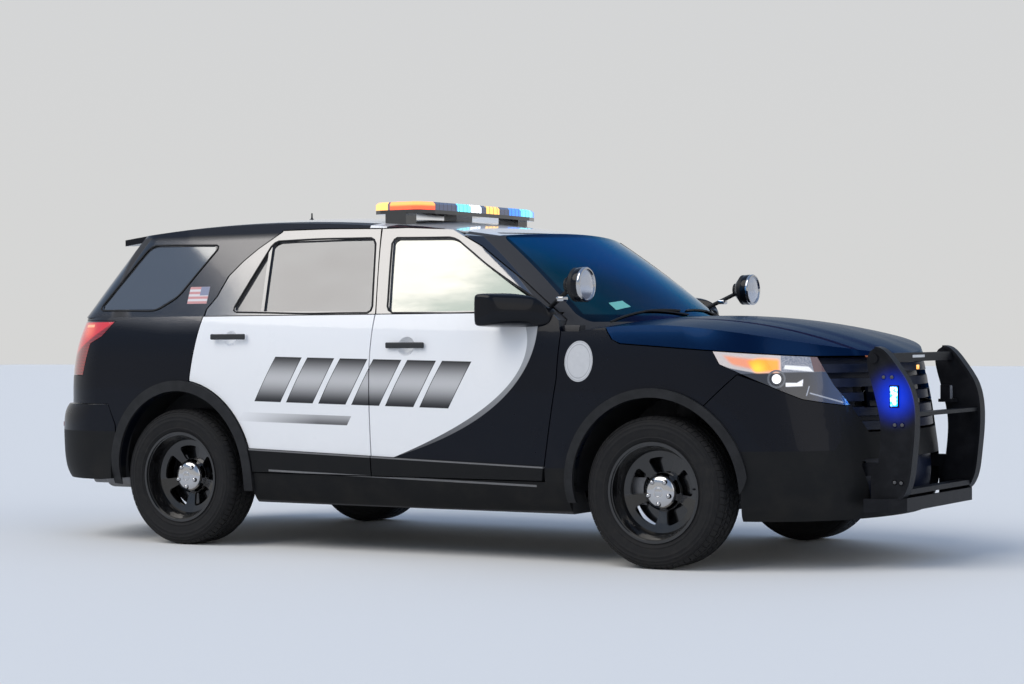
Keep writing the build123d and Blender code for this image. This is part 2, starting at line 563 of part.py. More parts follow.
# Knuckles that carry the front wheels, turning on the strut line
knuckle = Pos(AXLE_FRONT, -KINGPIN_Y - 8, HUB_HEIGHT) * Box(104, 40, 150)
knuckle = fillet(knuckle.edges().filter_by(Axis.Y), 20)
knuckle = knuckle + along_y(AXLE_FRONT, HUB_HEIGHT, SPINDLE, -838, -KINGPIN_Y)
knuckle = knuckle + Pos(AXLE_FRONT, -KINGPIN_Y, 287) * Cylinder(22, 37.4) + Pos(AXLE_FRONT, -KINGPIN_Y, 470) * Cylinder(26, 130)
caliper = (along_y(AXLE_FRONT, HUB_HEIGHT, 188, -838, -764) - along_y(AXLE_FRONT, HUB_HEIGHT, 116, -900, -700)
           - along_y(AXLE_FRONT, HUB_HEIGHT, 177, -817, -783))
caliper = caliper & box(AXLE_FRONT - 260, AXLE_FRONT - 90, -900, -700, 296, 426)
knuckle = knuckle + box(AXLE_FRONT - 150, AXLE_FRONT - 30, -776, -742, 320, 404) + caliper
keep("knuckle_right", knuckle, "metal")
keep("knuckle_left", left(knuckle), "metal")

# Rear suspension: crossmember, arms, hub carriers, springs
rear_sub = box(-1560, -1300, -420, 420, 330, 400)
for s in (-1, 1):
    rear_sub = rear_sub + plan([(-1500, s * 400), (-1370, s * 400), (-1400, s * 770), (-1464, s * 770)], 280, 306)
    rear_sub = rear_sub + box(-1500, -1370, min(s * 380, s * 420), max(s * 380, s * 420), 280, 340)
    rear_sub = rear_sub + Pos(AXLE_REAR, s * 748, HUB_HEIGHT) * Box(104, 40, 160)
    rear_sub = rear_sub + (along_y(AXLE_REAR, HUB_HEIGHT, SPINDLE, 760, 838) if s > 0 else along_y(AXLE_REAR, HUB_HEIGHT, SPINDLE, -838, -760))
    rear_sub = rear_sub + Pos(AXLE_REAR, s * 520, 430) * Cylinder(56, 80)
rear_sub = rear_sub + box(-1560, -1300, -640, -556, 400, 470) + box(-1560, -1300, 556, 640, 400, 470) + box(-1560, -1300, -640, 640, 380, 402)
keep("rear_suspension", rear_sub, "metal")

# Wheels: pressed rim, disc with openings, cap, brake disc; and tyres
def wheel():
    rim = revolve(make_face(Polyline([
        (0, -8), (60, -8), (74, 0), (150, 22), (196, 34), (206, 30), (214, 60), (RIM_RADIUS - 6, 104), (RIM_RADIUS + 12, 106), (RIM_RADIUS + 12, 114),
        (RIM_RADIUS, 114), (RIM_RADIUS, -106), (RIM_RADIUS + 12, -106), (RIM_RADIUS + 12, -114), (RIM_RADIUS - 8, -114), (RIM_RADIUS - 8, -60),
        (206, 0), (200, 20), (150, 8), (60, -24), (0, -24)], close=True).rotate(Axis.X, 90)), Axis.Z)
    for i in range(5):
        opening = (Circle(166) - Circle(93)) & make_face(Polyline(
            (0, 0), (260 * cos(radians(25)), 260 * sin(radians(25))), (320, 0), (260 * cos(radians(25)), -260 * sin(radians(25))), close=True))
        opening = extrude(fillet(opening.vertices(), 15), amount=140, both=True)
        rim = rim - Rot(0, 0, 72 * i + 18) * opening
    cap = Pos(0, 0, 14) * Cylinder(78, 44) + Pos(0, 0, 43) * Cone(74, 46, 14)
    lugs = None
    for i in range(5):
        nut = Rot(0, 0, 72 * i + 54) * Pos(57, 0, 30) * Cylinder(12, 36)
        lugs = nut if lugs is None else lugs + nut
    disc = Pos(0, 0, -51) * Cylinder(170, 22) + Pos(0, 0, -36) * Cylinder(80, 26)
    bore = Pos(0, 0, -60) * Cylinder(SPINDLE + 0.05, 100)
    return (rim + cap + lugs + disc) - bore


def tyre():
    half = TYRE_WIDTH / 2
    section = make_face(Polyline([
        (RIM_RADIUS, 104), (RIM_RADIUS + 12, 105), (262, half - 6), (300, half), (330, half - 8), (350, half - 22), (TYRE_RADIUS - 3, 86), (TYRE_RADIUS, 60),
        (TYRE_RADIUS, -60), (TYRE_RADIUS - 3, -86), (350, -half + 22), (330, -half + 8), (300, -half), (262, -half + 6),
        (RIM_RADIUS + 12, -105), (RIM_RADIUS, -104)], close=True).rotate(Axis.X, 90))
    return revolve(section, Axis.Z)


wheel_shape, tyre_shape = wheel(), tyre()
HUB_OUT = TRACK / 2
for tag, x in (("front", AXLE_FRONT), ("rear", AXLE_REAR)):
    for hand, s in (("right", -1), ("left", 1)):
        place = Pos(x, s * HUB_OUT, TYRE_RADIUS) * Rot(90 * -s, 0, 0)
        keep(f"wheel_{tag}_{hand}", place * wheel_shape, "steel")
        keep(f"tyre_{tag}_{hand}", place * tyre_shape, "rubber")

# Push bumper: two curved plate uprights with edge strips, cross bars, lower pan, lamp brackets
UPRIGHT_FRONT = [(2357, 1043), (2390, 1034), (2428, 1000), (2476, 937), (2519, 868), (2543, 790), (2550, 700), (2546, 610), (2534, 500),
                 (2516, 400), (2482, 341), (2434, 317), (2390, 322)]
UPRIGHT_REAR = [(2348, 392), (2363, 456), (2377, 553), (2381, 690), (2368, 765), (2343, 861), (2322, 940), (2318, 990), (2334, 1028)]


def beside(points, amount):
    """Points moved off a curve to the left of its direction."""
    out = []
    for i, (x, z) in enumerate(points):
        (ax, az), (bx, bz) = points[max(i - 1, 0)], points[min(i + 1, len(points) - 1)]
        run = ((bx - ax) ** 2 + (bz - az) ** 2) ** 0.5
        out.append((x - amount * (bz - az) / run, z + amount * (bx - ax) / run))
    return out


def between(one, other, y0, y1):
    """Plate in side view between two curves, both given from the same end."""
    face = make_face(Wire([Spline(*one), Line(one[-1], other[-1]), Spline(*other[::-1]), Line(other[0], one[0])]))
    return extrude(Plane.XZ.offset(-y1) * face, amount=y1 - y0)


upright = between(UPRIGHT_FRONT, UPRIGHT_REAR[::-1], -474, -420)
strip = between(beside(UPRIGHT_FRONT, 6), beside(UPRIGHT_FRONT, -9), -481, -413)
upright = upright + strip + Pos(2352, -478, 994) * Rot(90, 0, 0) * Cylinder(22, 12)
bars = box(2380, 2408, -430, 430, 975, 1017) + box(2482, 2540, -430, 430, 720, 738) + box(2440, 2500, -430, 430, 352, 376)
pan = plan([(2330, -560), (2330, 560), (2440, 520), (2500, 440), (2500, -440), (2440, -520)], 274, 337)
pan = pan - plan([(2300, -545), (2300, 545), (2430, 507), (2486, 430), (2486, -430), (2430, -507)], 290, 400)
stays = box(2240, 2390, 430, 466, 440, 500) + box(2330, 2400, 430, 466, 280, 440) + box(2366, 2436, 330, 424, 766, 782)
stays = stays + box(2376, 2424, 333, 365, 774, 851)
push = ((both(upright) + bars + pan) & box(2000, FRONT_END, -800, 800, 0, 1200)) - LOW_0
push = push + (both(stays) - lower(52))
keep("push_bumper", push, "trim")

# Light bar and spot lamps
half_plan = [(-88, 0), (-88, 300), (-96, 486), (-124, 585), (-160, 606), (-360, 606), (-402, 585), (-412, 486), (-412, 0)]
bar_plan = half_plan + [(x, -y) for x, y in half_plan[-2:0:-1]]
bar_base = plan(bar_plan, 1754, 1773)
bar_dome = plan(bar_plan, 1773, 1816)
bar_dome = chamfer(bar_dome.faces().sort_by(Axis.Z)[-1].edges(), 12)
bar_feet = box(-320, -190, 520, 618, 1690, 1756) + box(-320, -190, -618, -520, 1690, 1756)
light_bar = (bar_base + bar_dome + bar_feet + box(-300, -220, -80, 80, 1735, 1756)) - ROOF_0
keep("light_bar", light_bar, "lamp")

spot = Pos(1034, -940, 1355) * Rot(0, 90, 0) * (Cylinder(82, 56) + Pos(0, 0, -48) * Cone(36, 78, 40) + Pos(0, 0, -70) * Cylinder(36, 12))
post = rod((815, -850, 1250), (985, -940, 1345), 11)
spot = (spot + post) - UP_0
keep("spotlights", both(spot), "trim")

HUES = {"black": (0.03, 0.03, 0.04), "white": (0.9, 0.9, 0.9), "glass": (0.2, 0.25, 0.28), "trim": (0.12, 0.12, 0.12),
        "steel": (0.06, 0.06, 0.06), "rubber": (0.08, 0.08, 0.08), "lamp": (0.8, 0.85, 0.9), "red": (0.6, 0.03, 0.03),
        "metal": (0.4, 0.4, 0.42), "fabric": (0.15, 0.15, 0.17)}
for name, shape in PARTS.items():
    placed = Pos(SHIFT, 0, 0) * shape
    placed.color = Color(*HUES[COLOURS[name]])
    placed.label = name
    export_step(placed, f"parts/{name}.step")
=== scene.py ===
"""Patrol SUV: paint, glass, lamps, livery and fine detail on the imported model."""
import bpy
import bmesh
import json
from math import cos, pi, radians, sin
from mathutils import Matrix, Vector
from mathutils.bvhtree import BVHTree


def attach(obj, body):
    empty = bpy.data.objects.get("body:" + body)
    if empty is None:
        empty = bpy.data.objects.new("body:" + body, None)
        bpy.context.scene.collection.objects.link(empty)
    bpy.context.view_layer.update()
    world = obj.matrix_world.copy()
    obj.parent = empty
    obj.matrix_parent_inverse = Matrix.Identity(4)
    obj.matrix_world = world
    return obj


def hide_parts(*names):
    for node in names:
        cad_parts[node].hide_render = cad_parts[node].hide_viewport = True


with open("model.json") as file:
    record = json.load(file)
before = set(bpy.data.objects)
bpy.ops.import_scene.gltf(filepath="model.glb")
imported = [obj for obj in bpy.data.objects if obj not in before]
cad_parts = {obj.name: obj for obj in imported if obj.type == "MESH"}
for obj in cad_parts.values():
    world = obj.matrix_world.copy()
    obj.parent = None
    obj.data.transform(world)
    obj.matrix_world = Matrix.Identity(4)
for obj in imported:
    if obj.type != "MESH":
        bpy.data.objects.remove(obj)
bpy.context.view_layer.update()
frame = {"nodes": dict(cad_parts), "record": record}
NODES = frame["nodes"]
SHIFT = 0.027  # mid-wheelbase lies this far ahead of the origin


# Shader values that take part in ordinary arithmetic
class Signal:
    def __init__(self, finish, socket):
        self.finish, self.socket = finish, socket

    def __add__(self, other): return self.finish.maths("ADD", self, other)
    def __radd__(self, other): return self.finish.maths("ADD", other, self)
    def __sub__(self, other): return self.finish.maths("SUBTRACT", self, other)
    def __rsub__(self, other): return self.finish.maths("SUBTRACT", other, self)
    def __mul__(self, other): return self.finish.maths("MULTIPLY", self, other)
    def __rmul__(self, other): return self.finish.maths("MULTIPLY", other, self)
    def __pow__(self, other): return self.finish.maths("POWER", self, other)
    def __abs__(self): return self.finish.maths("ABSOLUTE", self)


class Finish:
    """One material and the nodes that make it."""

    def __init__(self, name, **surface):
        self.material = bpy.data.materials.new(name)
        self.material.use_nodes = True
        self.tree = self.material.node_tree
        self.tree.nodes.clear()
        output = self.tree.nodes.new("ShaderNodeOutputMaterial")
        self.surface = self.tree.nodes.new("ShaderNodeBsdfPrincipled")
        self.tree.links.new(self.surface.outputs["BSDF"], output.inputs["Surface"])
        self.set(**surface)
        self.place = self.node("ShaderNodeTexCoord").outputs["Object"]
        split = self.node("ShaderNodeSeparateXYZ", {"Vector": self.place})
        self.x, self.y, self.z = (Signal(self, split.outputs[i]) for i in range(3))
        self.x = self.x - SHIFT

    def feed(self, target, value):
        if isinstance(value, Signal):
            value = value.socket
        if isinstance(value, bpy.types.NodeSocket):
            self.tree.links.new(value, target)
        elif value is not None:
            target.default_value = (*value, 1) if target.type == "RGBA" else value

    def node(self, kind, sockets=(), **settings):
        made = self.tree.nodes.new(kind)
        for key, value in settings.items():
            setattr(made, key, value)
        for key, value in dict(sockets).items():
            self.feed(made.inputs[key], value)
        return made

    def maths(self, operation, *values):
        return Signal(self, self.node("ShaderNodeMath", dict(enumerate(values)), operation=operation).outputs[0])

    def ramp(self, value, low, high, a=0.0, b=1.0, kind="LINEAR"):
        """Goes from a to b as value goes from low to high, and stays there."""
        made = self.node("ShaderNodeMapRange", {"Value": value, "From Min": low, "From Max": high, "To Min": a,
                                                "To Max": b}, interpolation_type=kind)
        return Signal(self, made.outputs["Result"])

    def soft(self, value, low, high):
        return self.ramp(value, low, high, kind="SMOOTHSTEP")

    def fall(self, value, low, high):
        return self.ramp(value, low, high, 1, 0, "SMOOTHSTEP")

    def within(self, value, low, high, blur=0.0012):
        """1 between low and high, 0 outside."""
        return self.soft(value, low - blur, low + blur) * self.fall(value, high - blur, high + blur)

    def patch(self, rear, front, low, high):
        """1 inside a rectangle seen from the side."""
        return self.within(self.x, rear, front) * self.within(self.z, low, high)

    def reach(self, across, up):
        """Distance, from its parts on two axes."""
        return self.maths("SQRT", across ** 2.0 + up ** 2.0)

    def beyond(self, across, up, a, b):
        """Distance to the left of the line from a to b."""
        long, rise = b[0] - a[0], b[1] - a[1]
        run = (long ** 2 + rise ** 2) ** 0.5
        return (up - a[1]) * (long / run) - (across - a[0]) * (rise / run)

    def fenced(self, across, up, corners, inset=0.0, blur=0.001):
        """1 inside a convex polygon given anticlockwise, drawn in by inset."""
        mask = None
        for a, b in zip(corners, corners[1:] + corners[:1]):
            side = self.soft(self.beyond(across, up, a, b) - inset, -blur, blur)
            mask = side if mask is None else mask * side
        return mask

    def noise(self, scale, detail, roughness, stretch=None):
        where = self.place
        if stretch:
            where = self.node("ShaderNodeMapping", {"Vector": where, "Scale": stretch}).outputs[0]
        made = self.node("ShaderNodeTexNoise",
                         {"Vector": where, "Scale": scale, "Detail": detail, "Roughness": roughness})
        return Signal(self, made.outputs["Fac"])

    def blend(self, amount, first, second):
        return self.node("ShaderNodeMix", {"Factor": amount, 6: first, 7: second}, data_type="RGBA").outputs[2]

    def bump(self, height, strength, distance, under=None):
        made = self.node("ShaderNodeBump",
                         {"Height": height, "Strength": strength, "Distance": distance, "Normal": under})
        return made.outputs["Normal"]

    def set(self, **surface):
        for key, value in surface.items():
            self.feed(self.surface.inputs[key.replace("_", " ")], value)


# Paint
NAVY_BLACK = (0.0022, 0.0035, 0.008)
WHITE = (0.8, 0.81, 0.83)
ROAD_DUST = (0.035, 0.032, 0.028)
MATTE = (0.009, 0.0095, 0.0105)
INSIDE = (0.05, 0.05, 0.053)
# PAINTED_HIGHLIGHT is a painted highlight on the ridges of the lower mouldings
PAINTED_HIGHLIGHT = (0.16, 0.16, 0.165)
NO_GLOW = (0.0, 0.0, 0.0)
PAINT, LACQUER, BRIGHT = 0.28, 0.26, 1.0  # roughness of paint, lacquer on dark paint and on white
BELT = (1.215, 1.222)  # heights between which the panels end and the window frames begin


def layered(name, base, layers=None, dust=0.0, fine=0.04, **surface):
    """Paint or moulding with zones. base is colour, roughness and lacquer; a layer has a mask before them."""
    made = Finish(name, **surface)
    colour, rough, lacquer, metal = (*base, 0.0)[:4]
    for layer in (layers(made) if layers else ()):
        mask, shade, dull, gloss, metallic = (*layer, 0.0)[:5]
        colour = made.blend(mask, colour, shade)
        rough = rough + (dull - rough) * mask
        lacquer = lacquer + (gloss - lacquer) * mask
        metal = metal + (metallic - metal) * mask
    cloud = made.noise(7, 4, 0.6)
    if dust:
        patches = made.fall(made.z, 0.22, 0.7) * made.soft(cloud, 0.35, 0.75) * dust
        colour = made.blend(patches, colour, ROAD_DUST)
        rough = rough + patches * 0.3
    rough = rough + (cloud - 0.5) * 0.05
    made.set(Base_Color=colour, Roughness=rough, Coat_Weight=lacquer, Coat_Roughness=0.03, Coat_IOR=1.38,
             Specular_IOR_Level=0.1)
    if "Metallic" not in surface:
        made.set(Metallic=metal)
    peel = made.noise(420, 2, 0.5) + made.noise(60, 2, 0.5) * 0.7
    made.set(Normal=made.bump(peel, fine, 0.0004))
    return made


def inner_faces(p, under, beside):
    """A panel's inner faces: nearer the middle than the limits under the windows and beside them."""
    out = abs(p.y)
    return (p.fall(out, *under) * p.fall(p.z, *BELT)
            + p.fall(out + (p.z - 1.225) * 0.388, *beside) * p.soft(p.z, *BELT))


def sill_highlight(p):
    """Painted highlight line along the foot of the doors, where the moulding's ridge catches the light."""
    return p.within(p.z + p.x * 0.0225, 0.39, 0.4, 0.001) * p.within(p.x, -0.83, 0.79)


def door_layers(p):
    drop, dip = p.maths("MAXIMUM", 1.13 - p.z, 0.0), 1.068 - p.z
    border = p.soft(p.x - (0.745 - dip * dip * 2.425), -0.0015, 0.0015)
    dark = p.soft(p.x - (0.794 - drop * drop * 1.6 - drop ** 5 * 2.0), -0.0015, 0.0015)
    grey = p.blend(p.ramp(p.z, 0.5, 1.15), (0.05, 0.05, 0.055), (0.42, 0.43, 0.45))
    # slanted bars where the photograph has its large words
    lean = p.x - (p.z - 0.87) * 0.57
    lift = p.z - (0.997 - (p.x + 0.2) * 0.02)
    band = p.within(lift, -0.236, 0.0, 0.002) * p.within(lean, -0.858, 0.402)
    pitch = p.maths("FRACT", (lean + 0.858) * (1 / 0.2105))
    bars = band * p.within(pitch, 0.0, 0.83, 0.008)
    tone = p.blend(p.soft(abs(lift + 0.112), 0.0, 0.125), (0.5, 0.5, 0.51), (0.015, 0.015, 0.018))
    middle = p.within(pitch, 0.02, 0.81, 0.004) * p.within(lift, -0.231, -0.005, 0.001)
    edge = p.blend(middle, (0.01, 0.01, 0.012), tone)
    # narrow stripe that fades towards the rear
    level = p.z - (0.6925 - (p.x + 0.6) * 0.018)
    stripe = p.within(level, -0.03, 0.018) * p.within(p.x - p.z * 0.6, -1.42, -0.712) * p.ramp(p.x, -1.0, -0.5, 0.05)
    stripe_tone = p.blend(p.soft(level, -0.03, 0.018), (0.12, 0.12, 0.125), (0.4, 0.4, 0.41))
    # handle recesses, cladding with a painted highlight line along its top, window frame
    grips = p.patch(-0.098, 0.178, 1.045, 1.088) + p.patch(-1.228, -0.952, 1.093, 1.136)
    rise = p.z + (p.x - 0.97) * 0.02927
    # painted highlight line along the top of the cladding
    line = p.within(rise, 0.461, 0.4685, 0.001)
    rubber_line = p.within(p.z, 1.2225, 1.2275, 0.0005)
    return [(bars, edge, 0.35, 0.8), (stripe, stripe_tone, 0.35, 0.8), (border, grey, 0.3, 0.9),
            (dark, NAVY_BLACK, PAINT, LACQUER), (p.soft(p.z, 1.2265, 1.2285), (0.2, 0.2, 0.205), 0.12, 0.6, 1.0),
            (rubber_line, (0.008, 0.008, 0.008), 0.6, 0.0), (p.fall(rise, 0.4705, 0.472), MATTE, 0.5, 0.05),
            (line + sill_highlight(p), PAINTED_HIGHLIGHT, 0.3, 0.3),
            (grips * p.soft(abs(p.y), 0.9745, 0.9765), (0.035, 0.037, 0.04), 0.32, 0.35),
            (inner_faces(p, (0.905, 0.912), (0.885, 0.89)), INSIDE, 0.7, 0.0)]


def side_layers(p):
    patch = p.within(p.x, -0.326, -0.221) * p.soft(p.z, 1.666, 1.668) * p.soft(abs(p.y), 0.625, 0.63)
    strip = p.within(p.maths("FRACT", (p.z - 1.294) * (1 / 0.026)), 0.5, 1.0, 0.03)
    cloth = p.blend(strip, (0.6, 0.3, 0.3), (0.7, 0.66, 0.67))
    cloth = p.blend(p.patch(-1.371, -1.311, 1.338, 1.385), cloth, (0.26, 0.28, 0.38))
    inside = inner_faces(p, (0.895, 0.9), (0.875, 0.88)) * p.soft(p.x, -2.0, -1.95) * p.fall(p.z, 1.66, 1.67)
    upper = p.soft(p.z - p.maths("MAXIMUM", -1.55 - p.x, 0.0) * 0.1, 1.12, 1.24) * p.fall(p.z, 1.63, 1.67)
    rail = p.soft(p.z, 1.655, 1.672) * p.soft(p.x, -1.9, -1.8)
    # the sill line is a painted highlight along the foot of the body side
    return [(upper, (0.085, 0.085, 0.09), 0.12, 0.5, 1.0), (rail, (0.004, 0.008, 0.018), 0.45, 0.05),
            (patch, WHITE, PAINT, BRIGHT), (p.patch(-1.448, -1.311, 1.294, 1.385), cloth, 0.4, 0.5),
            (p.fall(p.z, 0.4065, 0.4085), MATTE, 0.6, 0.0), (sill_highlight(p), PAINTED_HIGHLIGHT, 0.3, 0.3),
            (inside, INSIDE, 0.7, 0.0)]


def fender_layers(p):
    reach = p.reach((p.x - 1.038) * (1 / 0.0765), (p.z - 0.986) * (1 / 0.0985))
    disc = p.fall(reach, 0.99, 1.01) * p.soft(abs(p.y), 0.9, 0.905)
    ring = p.within(reach, 0.8, 0.84, 0.01) + p.within(reach, 0.93, 0.96, 0.008)
    silver = p.blend(ring * 0.6 + p.noise(60, 3, 0.5) * 0.25, (0.56, 0.57, 0.59), (0.25, 0.26, 0.28))
    return [(disc, silver, 0.42, 0.3), (p.fall(p.z, 0.466, 0.468), MATTE, 0.5, 0.05)]


def bumper_layers(p):
    out, ahead = abs(p.y), p.soft(p.x, 2.0, 2.02)
    corner = p.soft(p.beyond(out, p.z, (0.55, 0.69), (0.645, 0.566)), -0.001, 0.001)
    middle = p.fall(out, 0.6, 0.602) * ahead * p.fall(p.z, 0.776, 0.778)
    beside = (1 - corner) * p.fall(p.z, 0.69, 0.692) * p.fall(out, 0.68, 0.7) * ahead
    dark = p.maths("MAXIMUM", p.fall(p.z, 0.565, 0.567), p.maths("MAXIMUM", middle, beside))
    return [(dark, MATTE, 0.52, 0.05)]


def gate_layers(p):
    seat = p.within(p.y, -0.19, 0.19) * p.within(p.z, 0.86, 1.0) * p.fall(p.x, -2.3, -2.29)
    inside = (p.soft(p.x + (p.z - 1.225) * 0.8, -2.335, -2.33) * p.fall(p.x, -1.95, -1.94)
              * p.fall(p.z, 1.6, 1.61))
    return [(seat, (0.02, 0.02, 0.022), 0.4, 0.2), (inside, INSIDE, 0.7, 0.0)]


def dark_painted(name, layers=None, dust=0.3):
    return layered(name, (NAVY_BLACK, PAINT, LACQUER), layers, dust)


black_paint = dark_painted("black body paint")
white_paint = layered("white roof paint", (WHITE, PAINT, BRIGHT))
door_paint = layered("door livery", (WHITE, PAINT, BRIGHT), door_layers, dust=0.1)
side_paint = dark_painted("body side paint", side_layers)
fender_paint = dark_painted("fender paint", fender_layers)
bumper_paint = dark_painted("front bumper paint", bumper_layers)
rear_bumper_paint = dark_painted("rear bumper paint", lambda p: [(p.fall(p.z, 0.599, 0.601), MATTE, 0.55, 0.05)])
gate_paint = dark_painted("liftgate paint", gate_layers, 0.2)

# Hood: a raised middle between two long creases. Its blue base colour and blue specular tint are a painted sky
# reflection.
hood_paint_and_painted_sky = layered("hood paint", ((0.0035, 0.016, 0.052), 0.26, 0.06, 1.0), Specular_Tint=(0.16, 0.3, 0.46))
from_crease = abs(hood_paint_and_painted_sky.y) - (0.6 - (hood_paint_and_painted_sky.x - 1.2) * 0.14)
step = hood_paint_and_painted_sky.fall(from_crease, -0.05, 0.012)
inner = hood_paint_and_painted_sky.fall(from_crease + 0.26, -0.09, 0.09)
peel = hood_paint_and_painted_sky.surface.inputs["Normal"].links[0].from_socket
hood_paint_and_painted_sky.set(Normal=hood_paint_and_painted_sky.bump(step * 0.8 + inner * 0.5, 0.9, 0.012, peel))


# Moulded, cast and pressed surfaces
def moulded(name, colour, rough, grain=1800, depth=0.25):
    made = Finish(name, IOR=1.46, Specular_IOR_Level=0.25)
    cells = made.node("ShaderNodeTexVoronoi", {"Vector": made.place, "Scale": grain}, feature="SMOOTH_F1")
    cells.inputs["Smoothness"].default_value = 0.6
    worn = made.noise(14, 4, 0.6)
    made.set(Base_Color=made.blend(made.soft(worn, 0.3, 0.8), colour, tuple(c * 1.5 + 0.004 for c in colour)),
             Roughness=rough + (worn - 0.5) * 0.16, Normal=made.bump(cells.outputs["Distance"], depth, 0.0004))
    return made


dark_trim = moulded("dark moulded trim", (0.01, 0.0105, 0.012), 0.5)
cabin_plastic = moulded("cabin moulding", (0.045, 0.045, 0.05), 0.7, 900)
chassis = moulded("chassis coating", (0.022, 0.022, 0.023), 0.65, 260, 0.4)
cast_metal = moulded("cast metal", (0.16, 0.16, 0.165), 0.5, 420, 0.35)
cast_metal.set(Metallic=0.7)
steel_wheel = moulded("black wheel enamel", (0.004, 0.004, 0.0045), 0.2, 900, 0.03)
steel_wheel.set(Coat_Weight=1.0, Coat_Roughness=0.04)

tyre_rubber = Finish("tyre rubber", IOR=1.5, Specular_IOR_Level=0.22)
dust = tyre_rubber.soft(tyre_rubber.noise(26, 5, 0.65), 0.42, 0.8)
tyre_rubber.set(Base_Color=tyre_rubber.blend(dust * 0.35, (0.009, 0.009, 0.01), (0.04, 0.038, 0.035)),
                Roughness=0.7 + dust * 0.18, Normal=tyre_rubber.bump(tyre_rubber.noise(700, 3, 0.6), 0.2, 0.0005))


# Glass
def glazed(name, tint, alpha, mirror):
    """Window glass: tint gives the colour, as a function of the finish."""
    made = Finish(name, IOR=1.5, Coat_Weight=0.3, Coat_Roughness=0.01)
    # The paler patches in the glass colour are a painted cloud reflection; they also roughen the glass slightly, as a
    # thin film.
    patches = made.soft(made.noise(2.2, 3, 0.5, (0.6, 1, 1.6)), 0.3, 0.75)
    made.set(Base_Color=made.blend(patches * 0.25, tint(made), (0.21, 0.224, 0.231)), Metallic=mirror, Alpha=alpha,
             Roughness=0.03 + patches * 0.03, Normal=made.bump(made.noise(2.6, 2, 0.4), 0.05, 0.004))
    return made


def side_tint(p):
    """Clearer in the front doors, with a painted cloud reflection there, darker behind; black in the front corner."""
    rear = p.blend(p.soft(p.x, -1.25, -1.2), (0.2, 0.205, 0.215), (0.135, 0.135, 0.14))
    rear = p.blend(p.soft(p.x, -2.12, -2.09), (0.03, 0.033, 0.038), rear)
    # painted cloud reflection: paler high up and towards the front, in uneven patches
    uneven = (p.noise(3.2, 4, 0.6, (0.5, 1, 2.2)) - 0.5) * 0.5
    painted_cloud_reflection = p.soft(p.z * 0.8 - p.x * 0.35 + uneven, 0.85, 1.15)
    clear = p.blend(painted_cloud_reflection, (0.155, 0.185, 0.17), (0.36, 0.36, 0.335))
    front = p.blend(p.soft(p.x, -0.2, -0.19), rear, clear)
    return p.blend(p.soft(p.x, 0.703, 0.706) * p.soft(p.z, 1.2, 1.21), front, (0.05, 0.05, 0.055))


def screen_tint(p):
    """Green low down, blue high up, black round the edge."""
    glass = p.blend(p.soft(p.z + p.y * 0.22, 1.26, 1.52), (0.012, 0.06, 0.06), (0.012, 0.11, 0.26))
    seen = p.fenced(abs(p.y), p.z, [(-0.1, 1.2), (0.745, 1.215), (0.615, 1.61), (-0.1, 1.63)], blur=0.006)
    return p.blend(seen, (0.004, 0.004, 0.005), glass)


side_glass = glazed("side glass", side_tint, 0.95, 0.85)
front_glass = glazed("windscreen glass", screen_tint, 0.94, 1.0)
front_glass.set(Specular_Tint=(0.15, 0.45, 0.75), Coat_Weight=0.1)


# Lamps
def lit(name, layers):
    """Lamp face with zones. A layer is mask, colour, glow."""
    made = Finish(name, IOR=1.5, Coat_Weight=1.0, Coat_Roughness=0.02, Roughness=0.12)
    colour, glow = (0.01, 0.012, 0.016), NO_GLOW
    for mask, shade, shine in layers(made):
        colour, glow = made.blend(mask, colour, shade), made.blend(mask, glow, shine)
    ribs = made.node("ShaderNodeTexWave", {"Vector": made.place, "Scale": 34.0}, bands_direction="DIAGONAL")
    made.set(Base_Color=colour, Emission_Color=glow, Emission_Strength=1.0,
             Normal=made.bump(ribs.outputs["Fac"], 0.12, 0.0015))
    return made


